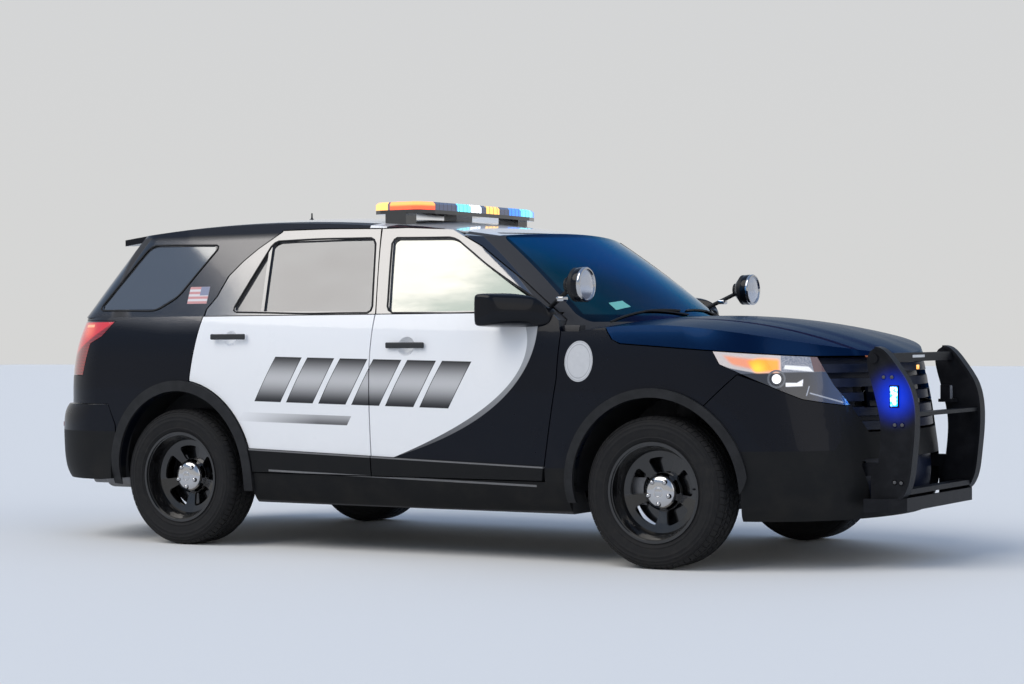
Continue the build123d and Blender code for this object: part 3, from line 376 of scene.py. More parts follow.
def headlamp_layers(p):
    q, z = p.x * 0.856 - abs(p.y) * 0.517, p.z

    def area(*corners, inset=0.0, blur=0.002):
        return p.fenced(q, z, list(corners), inset, blur)

    def near_line(a, b, below, above):
        return p.within(p.beyond(q, z, a, b), below, above, 0.002)
    sparkle = p.soft(p.noise(120, 3, 0.7, (1, 1, 3)), 0.42, 0.6)
    under = p.blend(p.soft(q, 1.42, 1.6), (0.006, 0.01, 0.022), (0.008, 0.045, 0.14))
    strip = p.soft(p.beyond(q, z, (1.0, 0.925), (1.6, 0.934)), -0.001, 0.001)
    pale = area((1.0, 1.04), (1.0, 0.98), (1.083, 0.952), (1.204, 0.929), (1.318, 0.931), (1.318, 1.02), blur=0.003)
    peach = area((1.035, 1.02), (1.085, 0.965), (1.19, 0.94), (1.19, 1.0), inset=0.006, blur=0.01)
    amber = area((1.155, 0.985), (1.19, 0.931), (1.312, 0.932), (1.312, 0.996), (1.2, 1.003), inset=0.004, blur=0.012)
    core = p.fall(p.reach(q - 1.205, z - 0.948), 0.0, 0.06)
    clear = area((1.318, 0.934), (1.475, 0.934), (1.455, 1.02), (1.318, 1.02))
    # The chrome line is given a glow: a painted glint.
    chrome_line_painted_glint = area((1.33, 0.948), (1.475, 0.934), (1.45, 0.958), (1.335, 0.966), blur=0.004)
    red = area((1.476, 0.934), (1.56, 0.934), (1.515, 1.02), (1.456, 1.02))
    reach = p.reach(q - 1.294, z - 0.902)
    bulb, ring = p.fall(reach, 0.017, 0.024), p.within(reach, 0.034, 0.043, 0.002)
    patch = p.maths("MAXIMUM", area((1.337, 0.866), (1.418, 0.868), (1.418, 0.882), (1.337, 0.884), blur=0.003),
                    area((1.385, 0.88), (1.42, 0.88), (1.421, 0.899), blur=0.003))
    arc = p.maths("MAXIMUM", near_line((1.4517, 0.835), (1.62, 0.788), -0.003, 0.003) * p.within(q, 1.452, 1.62),
                  near_line((1.434, 0.819), (1.4517, 0.873), -0.003, 0.002) * p.within(z, 0.822, 0.868))
    return [(1.0, under, NO_GLOW), (strip, (0.1, 0.11, 0.14), NO_GLOW), (pale, (0.62, 0.56, 0.54), (0.08, 0.06, 0.05)),
            (peach, (0.8, 0.3, 0.17), (0.25, 0.08, 0.04)), (amber, (0.95, 0.3, 0.02), (0.75, 0.2, 0.01)),
            (core * amber, (1.0, 0.5, 0.04), (0.9, 0.4, 0.02)),
            (clear, p.blend(sparkle, (0.16, 0.18, 0.24), (0.42, 0.42, 0.46)), NO_GLOW),
            (chrome_line_painted_glint, (0.85, 0.84, 0.84), (0.25, 0.25, 0.25)), (red, (0.13, 0.055, 0.06), NO_GLOW),
            (ring, (0.12, 0.13, 0.15), NO_GLOW), (bulb, (1.0, 1.0, 1.0), (1.6, 1.65, 1.7)),
            (patch, (0.85, 0.85, 0.87), (0.35, 0.35, 0.37)), (arc, (0.45, 0.48, 0.55), NO_GLOW)]


def tail_layers(p):
    upper = p.soft(p.z - (p.x + 2.2) * 0.55, 1.045, 1.06)
    warm = p.fall(p.reach((p.x + 2.135) * 0.8, p.z - 1.158), 0.01, 0.07)
    bar = p.within(p.z, 1.172, 1.186, 0.003) * p.within(p.x, -2.175, -2.09, 0.004)
    cells = p.within(p.maths("FRACT", p.z * 62.0), 0.42, 1.0, 0.05)
    low = p.blend(cells * 0.5, (0.17, 0.004, 0.005), (0.3, 0.008, 0.01))
    return [(1.0, low, (0.01, 0.0, 0.0)), (upper, (0.62, 0.022, 0.028), (0.1, 0.003, 0.004)),
            (upper * warm, (0.85, 0.12, 0.06), (0.22, 0.03, 0.012)),
            (upper * bar, (0.95, 0.45, 0.22), (0.3, 0.12, 0.05)),
            (p.soft(p.z, 1.196, 1.202), (0.02, 0.006, 0.007), NO_GLOW)]


def bar_layers(p):
    """Roof light bar: feet and base black, then the lit zones as in the photograph."""
    x, y, z = p.x, p.y, p.z
    dome, front, edge = p.soft(z, 1.7735, 1.7745), p.soft(x, -0.2, -0.19), p.soft(z, 1.8135, 1.815)
    cell = p.within(p.maths("FRACT", (y + x) * 26.0), 0.08, 0.95, 0.02)

    def zone(low, high, colour, glow):
        return (p.within(y, low, high, 0.004) * front * dome * cell, colour, glow)
    near = p.fall(y, -0.488, -0.48) * p.soft(x, -0.302, -0.296) * dome
    near_glow = p.blend(p.soft(z, 1.789, 1.803), (1.6, 0.04, 0.0), (1.9, 0.6, 0.12))
    amber_side = p.fall(y, -0.55, -0.54) * p.within(x, -0.405, -0.312, 0.002) * dome
    rear = (p.fall(x, -0.402, -0.398) * p.within(abs(y), 0.05, 0.45, 0.003)
            * p.within(p.maths("FRACT", y * 10.0), 0.1, 0.9, 0.02) * dome)
    return [(dome, p.blend(cell, (0.05, 0.055, 0.09), (0.11, 0.13, 0.22)), NO_GLOW),
            (edge, (0.16, 0.17, 0.22), NO_GLOW), (near, (0.95, 0.2, 0.08), near_glow),
            (amber_side, (1.0, 0.5, 0.15), (1.4, 0.62, 0.16)),
            zone(-0.284, -0.279, (0.05, 0.1, 0.4), (0.02, 0.1, 0.6)),
            zone(-0.276, -0.149, (0.2, 0.8, 0.9), (0.16, 1.1, 1.3)),
            zone(-0.146, -0.037, (0.9, 0.95, 1.0), (1.4, 1.5, 1.6)),
            zone(0.014, 0.15, (1.0, 0.6, 0.15), (1.4, 0.72, 0.12)),
            zone(0.256, 0.385, (0.05, 0.25, 0.8), (0.03, 0.25, 1.0)),
            zone(0.388, 0.552, (0.2, 0.8, 0.95), (0.16, 1.05, 1.4)),
            (p.soft(y, 0.56, 0.568) * dome, (0.1, 0.2, 0.7), (0.05, 0.3, 1.0)),
            (rear, (0.75, 0.32, 0.03), (0.25, 0.09, 0.0))]


headlamp_lens = lit("headlamp lens", headlamp_layers)
tail_lens = lit("tail lamp lens", tail_layers)
bar_lens = lit("roof light bar", bar_layers)

# Seat cloth
seat_cloth = Finish("seat cloth", Roughness=0.92, Sheen_Weight=0.35, Sheen_Roughness=0.5)
across, along = (Signal(seat_cloth, seat_cloth.node(
    "ShaderNodeTexWave", {"Vector": seat_cloth.place, "Scale": 240.0, "Distortion": 0.4},
    bands_direction=way).outputs["Fac"]) for way in "XZ")
weave = across * along
seat_cloth.set(Base_Color=seat_cloth.blend(weave, (0.035, 0.035, 0.04), (0.0595, 0.0595, 0.068)),
               Normal=seat_cloth.bump(weave, 0.4, 0.0006))

# The push bumper's coating, with a painted blue glow on the upright that carries the lit side lamp, where that lamp's
# light would fall
bar_coat_and_painted_glow = moulded("push bumper coating", (0.0055, 0.006, 0.008), 0.45)
from_lamp = bar_coat_and_painted_glow.reach(bar_coat_and_painted_glow.x - 2.454, bar_coat_and_painted_glow.z - 0.815)
shine = bar_coat_and_painted_glow.fall(from_lamp, 0.02, 0.19) * bar_coat_and_painted_glow.fall(bar_coat_and_painted_glow.y, -0.4725, -0.468)
bar_coat_and_painted_glow.set(Specular_IOR_Level=0.15, Emission_Color=bar_coat_and_painted_glow.blend(shine * shine, NO_GLOW, (0.0, 0.035, 0.75)),
             Emission_Strength=1.0)

# Finishes of the CAD nodes: by material slot, then those with one of their own
FINISHES = dict(
    black_paint=black_paint, white_paint=white_paint, dark_trim=dark_trim, steel_wheel=steel_wheel, tyre=tyre_rubber,
    glass=side_glass, lamp_clear=headlamp_lens, lamp_red=tail_lens, chassis=chassis, cast_metal=cast_metal,
    cabin_plastic=cabin_plastic, cloth=seat_cloth)
dressed = [(FINISHES[part["material_slot"]], part["node"]) for part in frame["record"]["subparts"]]
for finish, *names in dressed + [
        (front_glass, "windscreen"), (headlamp_lens, "headlamps"), (bar_lens, "light_bar"),
        (door_paint, "door_front_right", "door_front_left", "door_rear_right", "door_rear_left"),
        (side_paint, "body_side_right", "body_side_left"), (fender_paint, "fenders"),
        (bumper_paint, "front_bumper"), (rear_bumper_paint, "rear_bumper"), (gate_paint, "liftgate"),
        (hood_paint_and_painted_sky, "hood"), (bar_coat_and_painted_glow, "push_bumper"),
        (moulded("grille moulding", (0.003, 0.007, 0.022), 0.38), "grille")]:
    for name in names:
        NODES[name].data.materials.clear()
        NODES[name].data.materials.append(finish.material)

# Finishes of the added pieces: metal, chrome, lamps
chrome = layered("polished chrome", ((0.5, 0.5, 0.51), 0.1, 0.0), fine=0.02, Metallic=1.0)
satin_edge = layered("worn satin edge", ((0.09, 0.09, 0.095), 0.38, 0.2), fine=0.2)
black_gloss = layered("black gloss panel", ((0.004, 0.005, 0.008), 0.2, 0.35), fine=0.02)
plate_blank = layered("blank plate", ((0.66, 0.67, 0.68), 0.42, 0.4), fine=0.08)


def glowing(name, colour, strength, core):
    """Lit lamp face with the small cells of its lamps."""
    made = Finish(name, Roughness=0.15, Coat_Weight=1.0, Coat_Roughness=0.05)
    cells = made.node("ShaderNodeTexVoronoi", {"Vector": made.place, "Scale": 60.0})
    spot = made.fall(cells.outputs["Distance"], 0.1, 0.75)
    made.set(Base_Color=tuple(c * 0.5 for c in colour), Emission_Color=made.blend(spot * 0.6, colour, core),
             Emission_Strength=strength)
    return made


amber_lit = glowing("lit amber", (1.0, 0.36, 0.03), 1.6, (1.0, 0.75, 0.35))
blue_lit = glowing("lit blue", (0.0, 0.16, 1.0), 12.0, (0.5, 1.0, 1.0))
red_lit = glowing("lit red", (1.0, 0.02, 0.01), 1.5, (1.0, 0.3, 0.2))
clear_lens = layered("clear lamp lens", ((0.16, 0.17, 0.19), 0.1, 1.0), fine=0.6)


# Making pieces: points are given in metres about mid-wheelbase
HANDS = (("right", -1), ("left", 1))


def mm(*rows):
    """Rows of millimetres as metres."""
    return [tuple(value * 0.001 for value in row) for row in rows]


def added(name, data):
    made = bpy.data.objects.new(name, data)
    bpy.context.scene.collection.objects.link(made)
    return made


def plain(made):
    """The object's mesh with its modifiers worked in, which are then removed."""
    bpy.context.view_layer.update()
    solid = bpy.data.meshes.new_from_object(made.evaluated_get(bpy.context.evaluated_depsgraph_get()))
    made.modifiers.clear()
    return solid


def finished(name, mesh, finish, body="body", slot="dark_trim", bevel=0.0, subdivide=0):
    """A named piece in its finish, on its body."""
    mesh.transform(Matrix.Translation((SHIFT, 0, 0)))
    made = added(name, mesh)
    mesh.materials.clear()
    mesh.materials.append(finish.material)
    if subdivide:
        cage = made.modifiers.new("rounding", "SUBSURF")
        cage.levels = cage.render_levels = subdivide
    if bevel:
        edge = made.modifiers.new("edges", "BEVEL")
        edge.width, edge.segments, edge.limit_method, edge.angle_limit = bevel, 2, "ANGLE", radians(35)
    mesh.shade_smooth()
    if bevel or subdivide:
        made.data = plain(made)
    if not subdivide:
        made.data.set_sharp_from_angle(angle=radians(38))
    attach(made, body)
    return made


def mesh_of(points, faces):
    """Mesh with its doubles merged and its faces turned outwards."""
    mesh = bpy.data.meshes.new("mesh")
    mesh.from_pydata([tuple(p) for p in points], [], faces)
    work = bmesh.new()
    work.from_mesh(mesh)
    bmesh.ops.remove_doubles(work, verts=work.verts, dist=1e-6)
    bmesh.ops.recalc_face_normals(work, faces=work.faces)
    work.to_mesh(mesh)
    work.free()
    return mesh


def join(*meshes):
    work = bmesh.new()
    for mesh in meshes:
        work.from_mesh(mesh)
    whole = bpy.data.meshes.new("joined")
    work.to_mesh(whole)
    work.free()
    return whole


def loft(rings, loop=False, ends=True):
    """Skin over rings of equally many points, looped back to the first ring or closed by its ends."""
    count, size = len(rings), len(rings[0])
    faces = []
    for i in range(count if loop else count - 1):
        a, b = i * size, (i + 1) % count * size
        faces += [(a + k, a + (k + 1) % size, b + (k + 1) % size, b + k) for k in range(size)]
    if ends and not loop:
        faces += [tuple(range(size))[::-1], tuple(range((count - 1) * size, count * size))]
    return mesh_of([p for ring in rings for p in ring], faces)


def sheet(lines, offset):
    """Closed sheet through lines of points side by side, with its other face moved by the offset."""
    near = [p for line in lines for p in line]
    tall, wide, count = len(lines), len(lines[0]), len(near)
    faces = []
    for a in (j * wide + i for j in range(tall - 1) for i in range(wide - 1)):
        faces += [(a, a + 1, a + wide + 1, a + wide), tuple(count + n for n in (a, a + wide, a + wide + 1, a + 1))]
    rim = [*range(wide), *(j * wide + wide - 1 for j in range(1, tall)),
           *range(tall * wide - 2, (tall - 1) * wide - 1, -1), *(j * wide for j in range(tall - 2, 0, -1))]
    faces += [(a, count + a, count + b, b) for a, b in zip(rim, rim[1:] + rim[:1])]
    return mesh_of(near + [p + Vector(offset) for p in near], faces)


def block(x, y, z):
    """Box between two values on each axis."""
    return loft([[(x[0], y[0], w), (x[1], y[0], w), (x[1], y[1], w), (x[0], y[1], w)] for w in z])


def circle(steps):
    return [(cos(2 * pi * k / steps), sin(2 * pi * k / steps)) for k in range(steps)]


def turned(profile, steps, closed=False):
    """Spins a profile of (radius, height) about the Z axis."""
    return loft([[(r * u, r * v, h) for u, v in circle(steps)] for r, h in profile], closed, False)


def swept(path, section, closed=False):
    """Carries a section (side, up) along a path of points; up is kept near +Z or outwards."""
    rings, count = [], len(path)
    for i, p in enumerate(path):
        p = Vector(p)
        before = Vector(path[i - 1]) if i or closed else p
        after = Vector(path[(i + 1) % count]) if i + 1 < count or closed else p
        ahead = (after - before).normalized()
        side = ahead.cross(Vector((0, 0, 1)))
        side = side.normalized() if side.length > 0.05 else Vector((0, 1, 0))
        up = side.cross(ahead).normalized()
        rings.append([p + side * a + up * b for a, b in section])
    return loft(rings, closed)


def bar_section(low, high, down, up):
    """Section of a bar: half its width below and above, and how far it reaches down and up."""
    return [(-low, -down), (low, -down), (high, up), (-high, up)]


def curved(points, steps):
    """Smooth line through points."""
    line = []
    for i in range(len(points) - 1):
        a, b = points[max(i - 1, 0)], points[i]
        c, d = points[i + 1], points[min(i + 2, len(points) - 1)]
        for t in (k / steps for k in range(steps)):
            line.append(0.5 * ((2 * b) + (c - a) * t + (2 * a - 5 * b + 4 * c - d) * t * t
                               + (3 * b - a - 3 * c + d) * t ** 3))
    return line + [points[-1]]


class Skin:
    """The outside of CAD panels, to set pieces on."""

    def __init__(self, *names):
        work = bmesh.new()
        for name in names:
            work.from_mesh(NODES[name].data)
        self.tree = BVHTree.FromBMesh(work)
        work.free()

    def meet(self, start, way, lift):
        """Where a ray meets the panels, lifted back along the ray."""
        away, way = Vector((SHIFT, 0, 0)), Vector(way)
        hit = self.tree.ray_cast(Vector(start) + away, way)[0]
        return None if hit is None else hit - away - way * lift

    def side(self, x, z, hand, lift):
        return self.meet((x, hand * 2.0, z), (0, -hand, 0), lift)

    def rear(self, y, z, lift=0.0):
        return self.meet((-4.0, y, z), (1, 0, 0), lift)

    def top(self, x, y, lift=0.0):
        return self.meet((x, y, 3.0), (0, 0, -1), lift)


# What repeats round a wheel is set out by one tree: copies of a form, evenly round the Z axis
RING = bpy.data.node_groups.new("set out in a ring", "GeometryNodeTree")
RING.interface.new_socket("Geometry", in_out="OUTPUT", socket_type="NodeSocketGeometry")
for name, kind in (("Geometry", "Geometry"), ("Count", "Int"), ("Radius", "Float"), ("Start Angle", "Float"),
                   ("Finish", "Material")):
    RING.interface.new_socket(name, in_out="INPUT", socket_type=f"NodeSocket{kind}")
start, end, hoop, turn, spots, place, split, angle, aim, begin, real, paint = (RING.nodes.new(kind) for kind in (
    "NodeGroupInput", "NodeGroupOutput", "GeometryNodeMeshCircle", "GeometryNodeTransform",
    "GeometryNodeInstanceOnPoints", "GeometryNodeInputPosition", "ShaderNodeSeparateXYZ", "ShaderNodeMath",
    "ShaderNodeCombineXYZ", "ShaderNodeCombineXYZ", "GeometryNodeRealizeInstances", "GeometryNodeSetMaterial"))
angle.operation = "ARCTAN2"
for source, out, target, into in (
        (start, "Count", hoop, "Vertices"), (start, "Radius", hoop, "Radius"),
        (start, "Start Angle", begin, "Z"), (hoop, "Mesh", turn, "Geometry"),
        (begin, "Vector", turn, "Rotation"), (place, "Position", split, "Vector"), (split, "Y", angle, 0),
        (split, "X", angle, 1), (angle, "Value", aim, "Z"), (turn, "Geometry", spots, "Points"),
        (start, "Geometry", spots, "Instance"), (aim, "Vector", spots, "Rotation"),
        (spots, "Instances", real, "Geometry"), (real, "Geometry", paint, "Geometry"),
        (start, "Finish", paint, "Material"), (paint, "Geometry", end, "Geometry")):
    RING.links.new(source.outputs[out], target.inputs[into])


def set_out(form, count, radius, finish, start=0.0):
    """Mesh of the form repeated round the Z axis at a radius, first at the start angle."""
    holder = added("pattern", form)
    maker = holder.modifiers.new("ring", "NODES")
    maker.node_group = RING
    sockets = {item.name: item.identifier for item in RING.interface.items_tree if item.in_out == "INPUT"}
    for name, value in (("Count", count), ("Radius", radius), ("Start Angle", start), ("Finish", finish.material)):
        maker[sockets[name]] = value
    result = plain(holder)
    bpy.data.objects.remove(holder)
    return result


# Axles from mid-wheelbase, height of the hubs, half the track, radius over the tread
AXLE, HUB, HALF_TRACK, TREAD = 1.432, 0.3635, 0.851, 0.3626
WHEELS = [(f"wheel_{end}_{hand}", x, s) for end, x in (("front", AXLE), ("rear", -AXLE)) for hand, s in HANDS]


def on_wheel(mesh, x, s):
    """Stands a mesh made about Z onto a wheel, with +Z outboard."""
    mesh = mesh.copy()
    mesh.transform(Matrix.Translation((x, s * HALF_TRACK, HUB)) @ Matrix.Rotation(-s * pi / 2, 4, "X"))
    return mesh


# Tyres: carcass with sidewall rings, and five rows of tread blocks
def tread_block(low, high, long, lean, shoulder):
    """Block across the tread from low to high, with a chamfered outer end where it is a shoulder block."""
    if shoulder:
        outline = [(-0.009, low), (0.0, low + 0.0015), (0.0, high - 0.012), (-0.0022, high - 0.005),
                   (-0.0065, high + 0.002), (-0.014, high + 0.0105), (-0.018, high + 0.008)]
    else:
        outline = [(-0.009, low), (-0.001, low), (0.0, low + 0.0012), (0.0, high - 0.0012), (-0.001, high),
                   (-0.009, high)]
    middle = (low + high) / 2
    return loft([[(u, end + (v - middle) * lean, v) for u, v in outline] for end in (-long / 2, long / 2)])


wall = mm((229, 104), (233, 108.5), (240, 109), (243, 107), (248, 110.5), (257, 115), (260, 118), (264, 118.2),
          (266.5, 116.8), (276, 119), (290, 120.8), (300, 121.4), (301.5, 122.4), (307, 122.5), (308.5, 121.4),
          (320, 120), (321.5, 120.8), (323.5, 120.8), (325, 119), (334, 115), (336, 115.8), (338, 114),
          (345, 107.5), (350.5, 101), (354.5, 93), (356, 86), (356.2, 40), (356.2, 0))
rows = [turned(wall + [(r, -h) for r, h in wall[-2::-1]], 120, True)]
# from, to, blocks round the tyre, slant, first angle, shoulder: 1 outer, -1 inner
for low, high, count, lean, start, shoulder in (
        (0.071, 0.098, 70, 0.25, 0.0, 1), (0.031, 0.063, 64, -0.55, 0.02, 0), (-0.017, 0.023, 64, 0.55, 0.05, 0),
        (-0.063, -0.025, 64, -0.55, 0.01, 0), (0.071, 0.098, 70, 0.25, 0.03, -1)):
    form = tread_block(low, high, 2 * pi * TREAD / count - 0.0042, lean, shoulder)
    if shoulder < 0:
        form.transform(Matrix.Scale(-1, 4, (0, 0, 1)))
        form.flip_normals()
    rows.append(set_out(form, count, TREAD, tyre_rubber, start))
tyre_form = join(*rows)

# Domed chrome cap with its five bumps, a flat middle and a rolled edge
dome = turned(mm((0.4, 58), (18, 58), (21, 56.8), (24, 58), (30, 57.6), (45, 56), (60, 53), (72, 47.5), (81, 39),
                 (87, 27), (90.5, 12), (92.5, 3), (92.5, 0), (89, -1), (84, 0)), 72)
bump = turned(mm((0.3, 66), (5, 65.5), (9, 63), (11.5, 59), (12.5, 54), (13.5, 48)), 16)
cap_form = join(dome, set_out(bump, 5, 0.057, chrome, radians(54)))
stem = swept(mm((205, 20, 30), (202, 20, 45), (196, 20, 62), (190, 20, 72)),
             [(0.0045 * u, 0.0045 * v) for u, v in circle(8)])
for wheel, x, s in WHEELS:
    tyre = finished(f"tyre_with_tread_{wheel[6:]}", on_wheel(tyre_form, x, s), tyre_rubber, wheel, "tyre")
    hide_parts(f"tyre_{wheel[6:]}")
    finished(f"wheel_cap_{wheel[6:]}", on_wheel(cap_form, x, s), chrome, wheel, "steel_wheel")
    finished(f"valve_{wheel[6:]}", on_wheel(stem, x, s), dark_trim, wheel, "tyre")


# Mirrors: sections outboard from the sail, as distance out, rear, front, low and high
MIRROR = mm((884, 734, 872, 1154, 1250), (900, 732, 872, 1154, 1252), (925, 716, 868, 1154, 1256),
            (946, 690, 858, 1153, 1264), (958, 580, 838, 1152, 1302), (970, 550, 806, 1152, 1314),
            (990, 547, 782, 1152, 1318), (1030, 546, 748, 1152, 1321), (1080, 546, 712, 1155, 1319),
            (1125, 548, 676, 1156, 1318), (1147.5, 553, 650, 1162, 1312), (1148.5, 575, 612, 1200, 1280))
# outline of each section, as shares of its depth and height
MIRROR_OUTLINE = ((0, 0.1), (0.06, 0), (0.45, 0), (0.86, 0.05), (1, 0.24), (0.99, 0.72), (0.91, 0.97), (0.45, 1),
                  (0.06, 1), (0, 0.9))
MIRROR_FACE = mm((-76, -52), (-66, -60), (62, -60), (74, -50), (76, 38), (66, 54), (-60, 54), (-76, 44))
mirror_face = layered("mirror glass", ((0.55, 0.57, 0.58), 0.03, 1.0), fine=0.02, Metallic=1.0)
for hand, s in HANDS:
    shell = loft([[(rear + u * (front - rear), s * out, low + v * (high - low)) for u, v in MIRROR_OUTLINE]
                  for out, rear, front, low, high in MIRROR])
    shell = finished(f"mirror_housing_{hand}", shell, black_gloss, f"door_front_{hand}", subdivide=2)
    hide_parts(f"mirror_{hand}")
    face = loft([[(x, s * (1.052 + u), 1.236 + v) for u, v in MIRROR_FACE] for x in (0.5535, 0.558)])
    finished(f"mirror_glass_{hand}", face, mirror_face, f"door_front_{hand}", "glass", 0.0008)


# Spot lamps: bezel, lens, bowl and chrome bracket
SPOT_BEZEL = mm((70, 0), (83, 0), (84.5, 4), (84.5, 12), (81, 17), (75, 18), (72, 14), (71, 8))
SPOT_LENS = mm((0.4, 20.5), (30, 19), (55, 15.5), (72.5, 10.5))
SPOT_BOWL = mm((83, 0), (84.2, -12), (82.5, -30), (77.5, -46), (68, -62), (54, -75), (36, -84), (18, -88.5),
               (0.4, -89.5))
spot_glass = layered("spot lamp lens", ((0.5, 0.53, 0.6), 0.1, 1.0), fine=0.5, Metallic=0.6)
for hand, s in HANDS:
    for part, profile, closed, finish, slot in (("bezel", SPOT_BEZEL, True, chrome, "dark_trim"),
                                                ("lens", SPOT_LENS, False, spot_glass, "lamp_clear"),
                                                ("bowl", SPOT_BOWL, False, black_gloss, "dark_trim")):
        form = turned(profile, 48, closed)
        form.transform(Matrix.Translation((1.056, s * 0.94, 1.355)) @ Matrix.Rotation(pi / 2, 4, "Y"))
        finished(f"spot_{part}_{hand}", form, finish, slot=slot)
    bracket = block((0.88, 0.925), (s * 0.868, s * 0.915), (1.276, 1.3))
    finished(f"spot_bracket_{hand}", bracket, chrome, bevel=0.006)


# Rubber round the windows
def surround(name, body, panel, corners):
    """Strip round a window's outline on the right side, and its mirror on the left."""
    skin, track, path = Skin(panel), [], []
    step, outside = 0.03, 0.009  # between points, and from the window's edge to the strip's middle
    for (x, z), (next_x, next_z) in zip(corners, corners[1:] + corners[:1]):
        pieces = max(int(((next_x - x) ** 2 + (next_z - z) ** 2) ** 0.5 / step), 1)
        track += [(x + (next_x - x) * k / pieces, z + (next_z - z) * k / pieces) for k in range(pieces)]
    middle_x, middle_z = (sum(corner[n] for corner in corners) / len(corners) for n in (0, 1))
    for i in range(len(track)):
        x, z = (sum(track[(i + d) % len(track)][n] for d in (-1, 0, 1)) / 3 for n in (0, 1))
        away = ((x - middle_x) ** 2 + (z - middle_z) ** 2) ** 0.5
        grow = 1 + outside / away
        path.append(skin.side(middle_x + (x - middle_x) * grow, middle_z + (z - middle_z) * grow, -1, 0.0005))
    path = [p for p in path if p is not None]
    for _ in range(2):
        path = [Vector((p.x, sorted(path[(i + d) % len(path)].y for d in (-1, 0, 1))[1], p.z))
                for i, p in enumerate(path)]
    for hand, s in HANDS:
        strip = swept([Vector((p.x, -s * p.y, p.z)) for p in path], bar_section(0.006, 0.0042, 0.003, 0.003), True)
        finished(f"{name}_{hand}", strip, window_rubber, body.replace("right", hand))


window_rubber = moulded("window rubber", (0.012, 0.012, 0.013), 0.55, 1200)
surround("front_window_rubber", "door_front_right", "door_front_right",
         mm((812, 1236), (690, 1318), (392, 1484), (214, 1606), (-163, 1618), (-101, 1236)))
surround("rear_window_rubber", "door_rear_right", "door_rear_right",
         mm((-213, 1238), (-284, 1620), (-930, 1618), (-1118, 1250)))
surround("quarter_window_rubber", "body", "body_side_right",
         mm((-2085, 1268), (-1800, 1614), (-1308, 1608), (-1530, 1338), (-1665, 1268)))


# Sealing strips under the roof's front edge and along its sides
roof_skin, glass_skin = Skin("roof"), Skin("windscreen")
EDGE, INNER = 0.618, 0.59  # the roof panel's edge, and where its slope is measured
lines = []
for y in (k * 0.02 for k in range(-30, 31)):
    behind = next(p for p in (roof_skin.top(0.54 - 0.004 * i, y, -0.0035) for i in range(80)) if p)
    before = next(p for p in (glass_skin.top(0.3 + 0.004 * i, y, -0.003) for i in range(80)) if p)
    under, below = roof_skin.top(behind.x - 0.03, y, -0.004), glass_skin.top(before.x + 0.012, y, -0.004)
    lines.append([under, behind, behind + (before - behind) * 0.5, before, below])
finished("roof_front_strip", sheet(lines, (0, 0, -0.006)), white_paint, slot="white_paint")
for hand, s in HANDS:
    lines = []
    for x in (-0.06 + k * 0.02 for k in range(18)):
        edge, inner = roof_skin.top(x, s * EDGE), roof_skin.top(x, s * INNER)
        fall = (inner.z - edge.z) / (EDGE - INNER)
        lines.append([Vector((x, s * (EDGE + d), edge.z - 0.006 - fall * d)) for d in (-0.006, 0.012, 0.032, 0.052)])
    finished(f"roof_side_strip_{hand}", sheet(lines, (0, 0, -0.005)), black_paint, slot="black_paint")

# Inner aprons between the front wheels and the engine bay
for hand, s in HANDS:
    apron = block((1.06, 1.8), (s * 0.5 - 0.003, s * 0.5 + 0.003), (0.44, 0.93))
    finished(f"inner_apron_{hand}", apron, chassis, slot="chassis", bevel=0.001)

# Fuel flap: a low rounded square on the left rear quarter, as rings of half width and lift
left_skin, rings, flap_x, flap_z = Skin("body_side_left"), [], -1.8, 1.005
for half, lift in mm((86, -2), (84.5, 1.6), (60, 1.8), (30, 1.8), (0, 1.8)):
    spots = ((u, v, half / (abs(u) ** 4 + abs(v) ** 4) ** 0.25) for u, v in circle(32))
    rings.append([left_skin.side(flap_x + u * grow, flap_z + v * grow, 1, lift) for u, v, grow in spots])
finished("fuel_flap", loft(rings), black_paint, slot="black_paint")


# Wipers, on the lower edge of the windscreen: pivot, near and far end as (y, x)
screen_skin = Skin("windscreen", "cowl")


def on_screen(start, end, steps, lift):
    """Line over the windscreen and the cowl between two places (y, x)."""
    line = (screen_skin.top(start[1] + (end[1] - start[1]) * t / steps, start[0] + (end[0] - start[0]) * t / steps,
                            lift) for t in range(steps + 1))
    return [p for p in line if p is not None]


for number, (pivot, near, far) in enumerate((((-0.02, 1.15), (-0.66, 1.045), (-0.05, 1.118)),
                                             ((0.62, 1.1), (0.02, 1.118), (0.6, 1.055)))):
    blade = on_screen(near, far, 12, 0.006)
    middle = blade[len(blade) // 2]
    arm = on_screen(pivot, (middle.y, middle.x), 6, 0.007)
    form = join(swept(blade, bar_section(0.004, 0.003, 0.004, 0.004)),
                swept(arm, bar_section(0.005, 0.004, 0.003, 0.004)))
    finished(f"wiper_{number + 1}", form, window_rubber)

# Pale square sticker in the lower corner of the windscreen
sticker = layered("blank sticker", ((0.16, 0.52, 0.47), 0.4, 0.6), fine=0.1)
corners = mm((965, -532), (985, -426), (1029, -418), (1011, -539))
form = loft([[screen_skin.top(x, y, lift) for x, y in corners] for lift in (0.0012, 0.0022)])
finished("sticker", form, sticker, slot="glass")

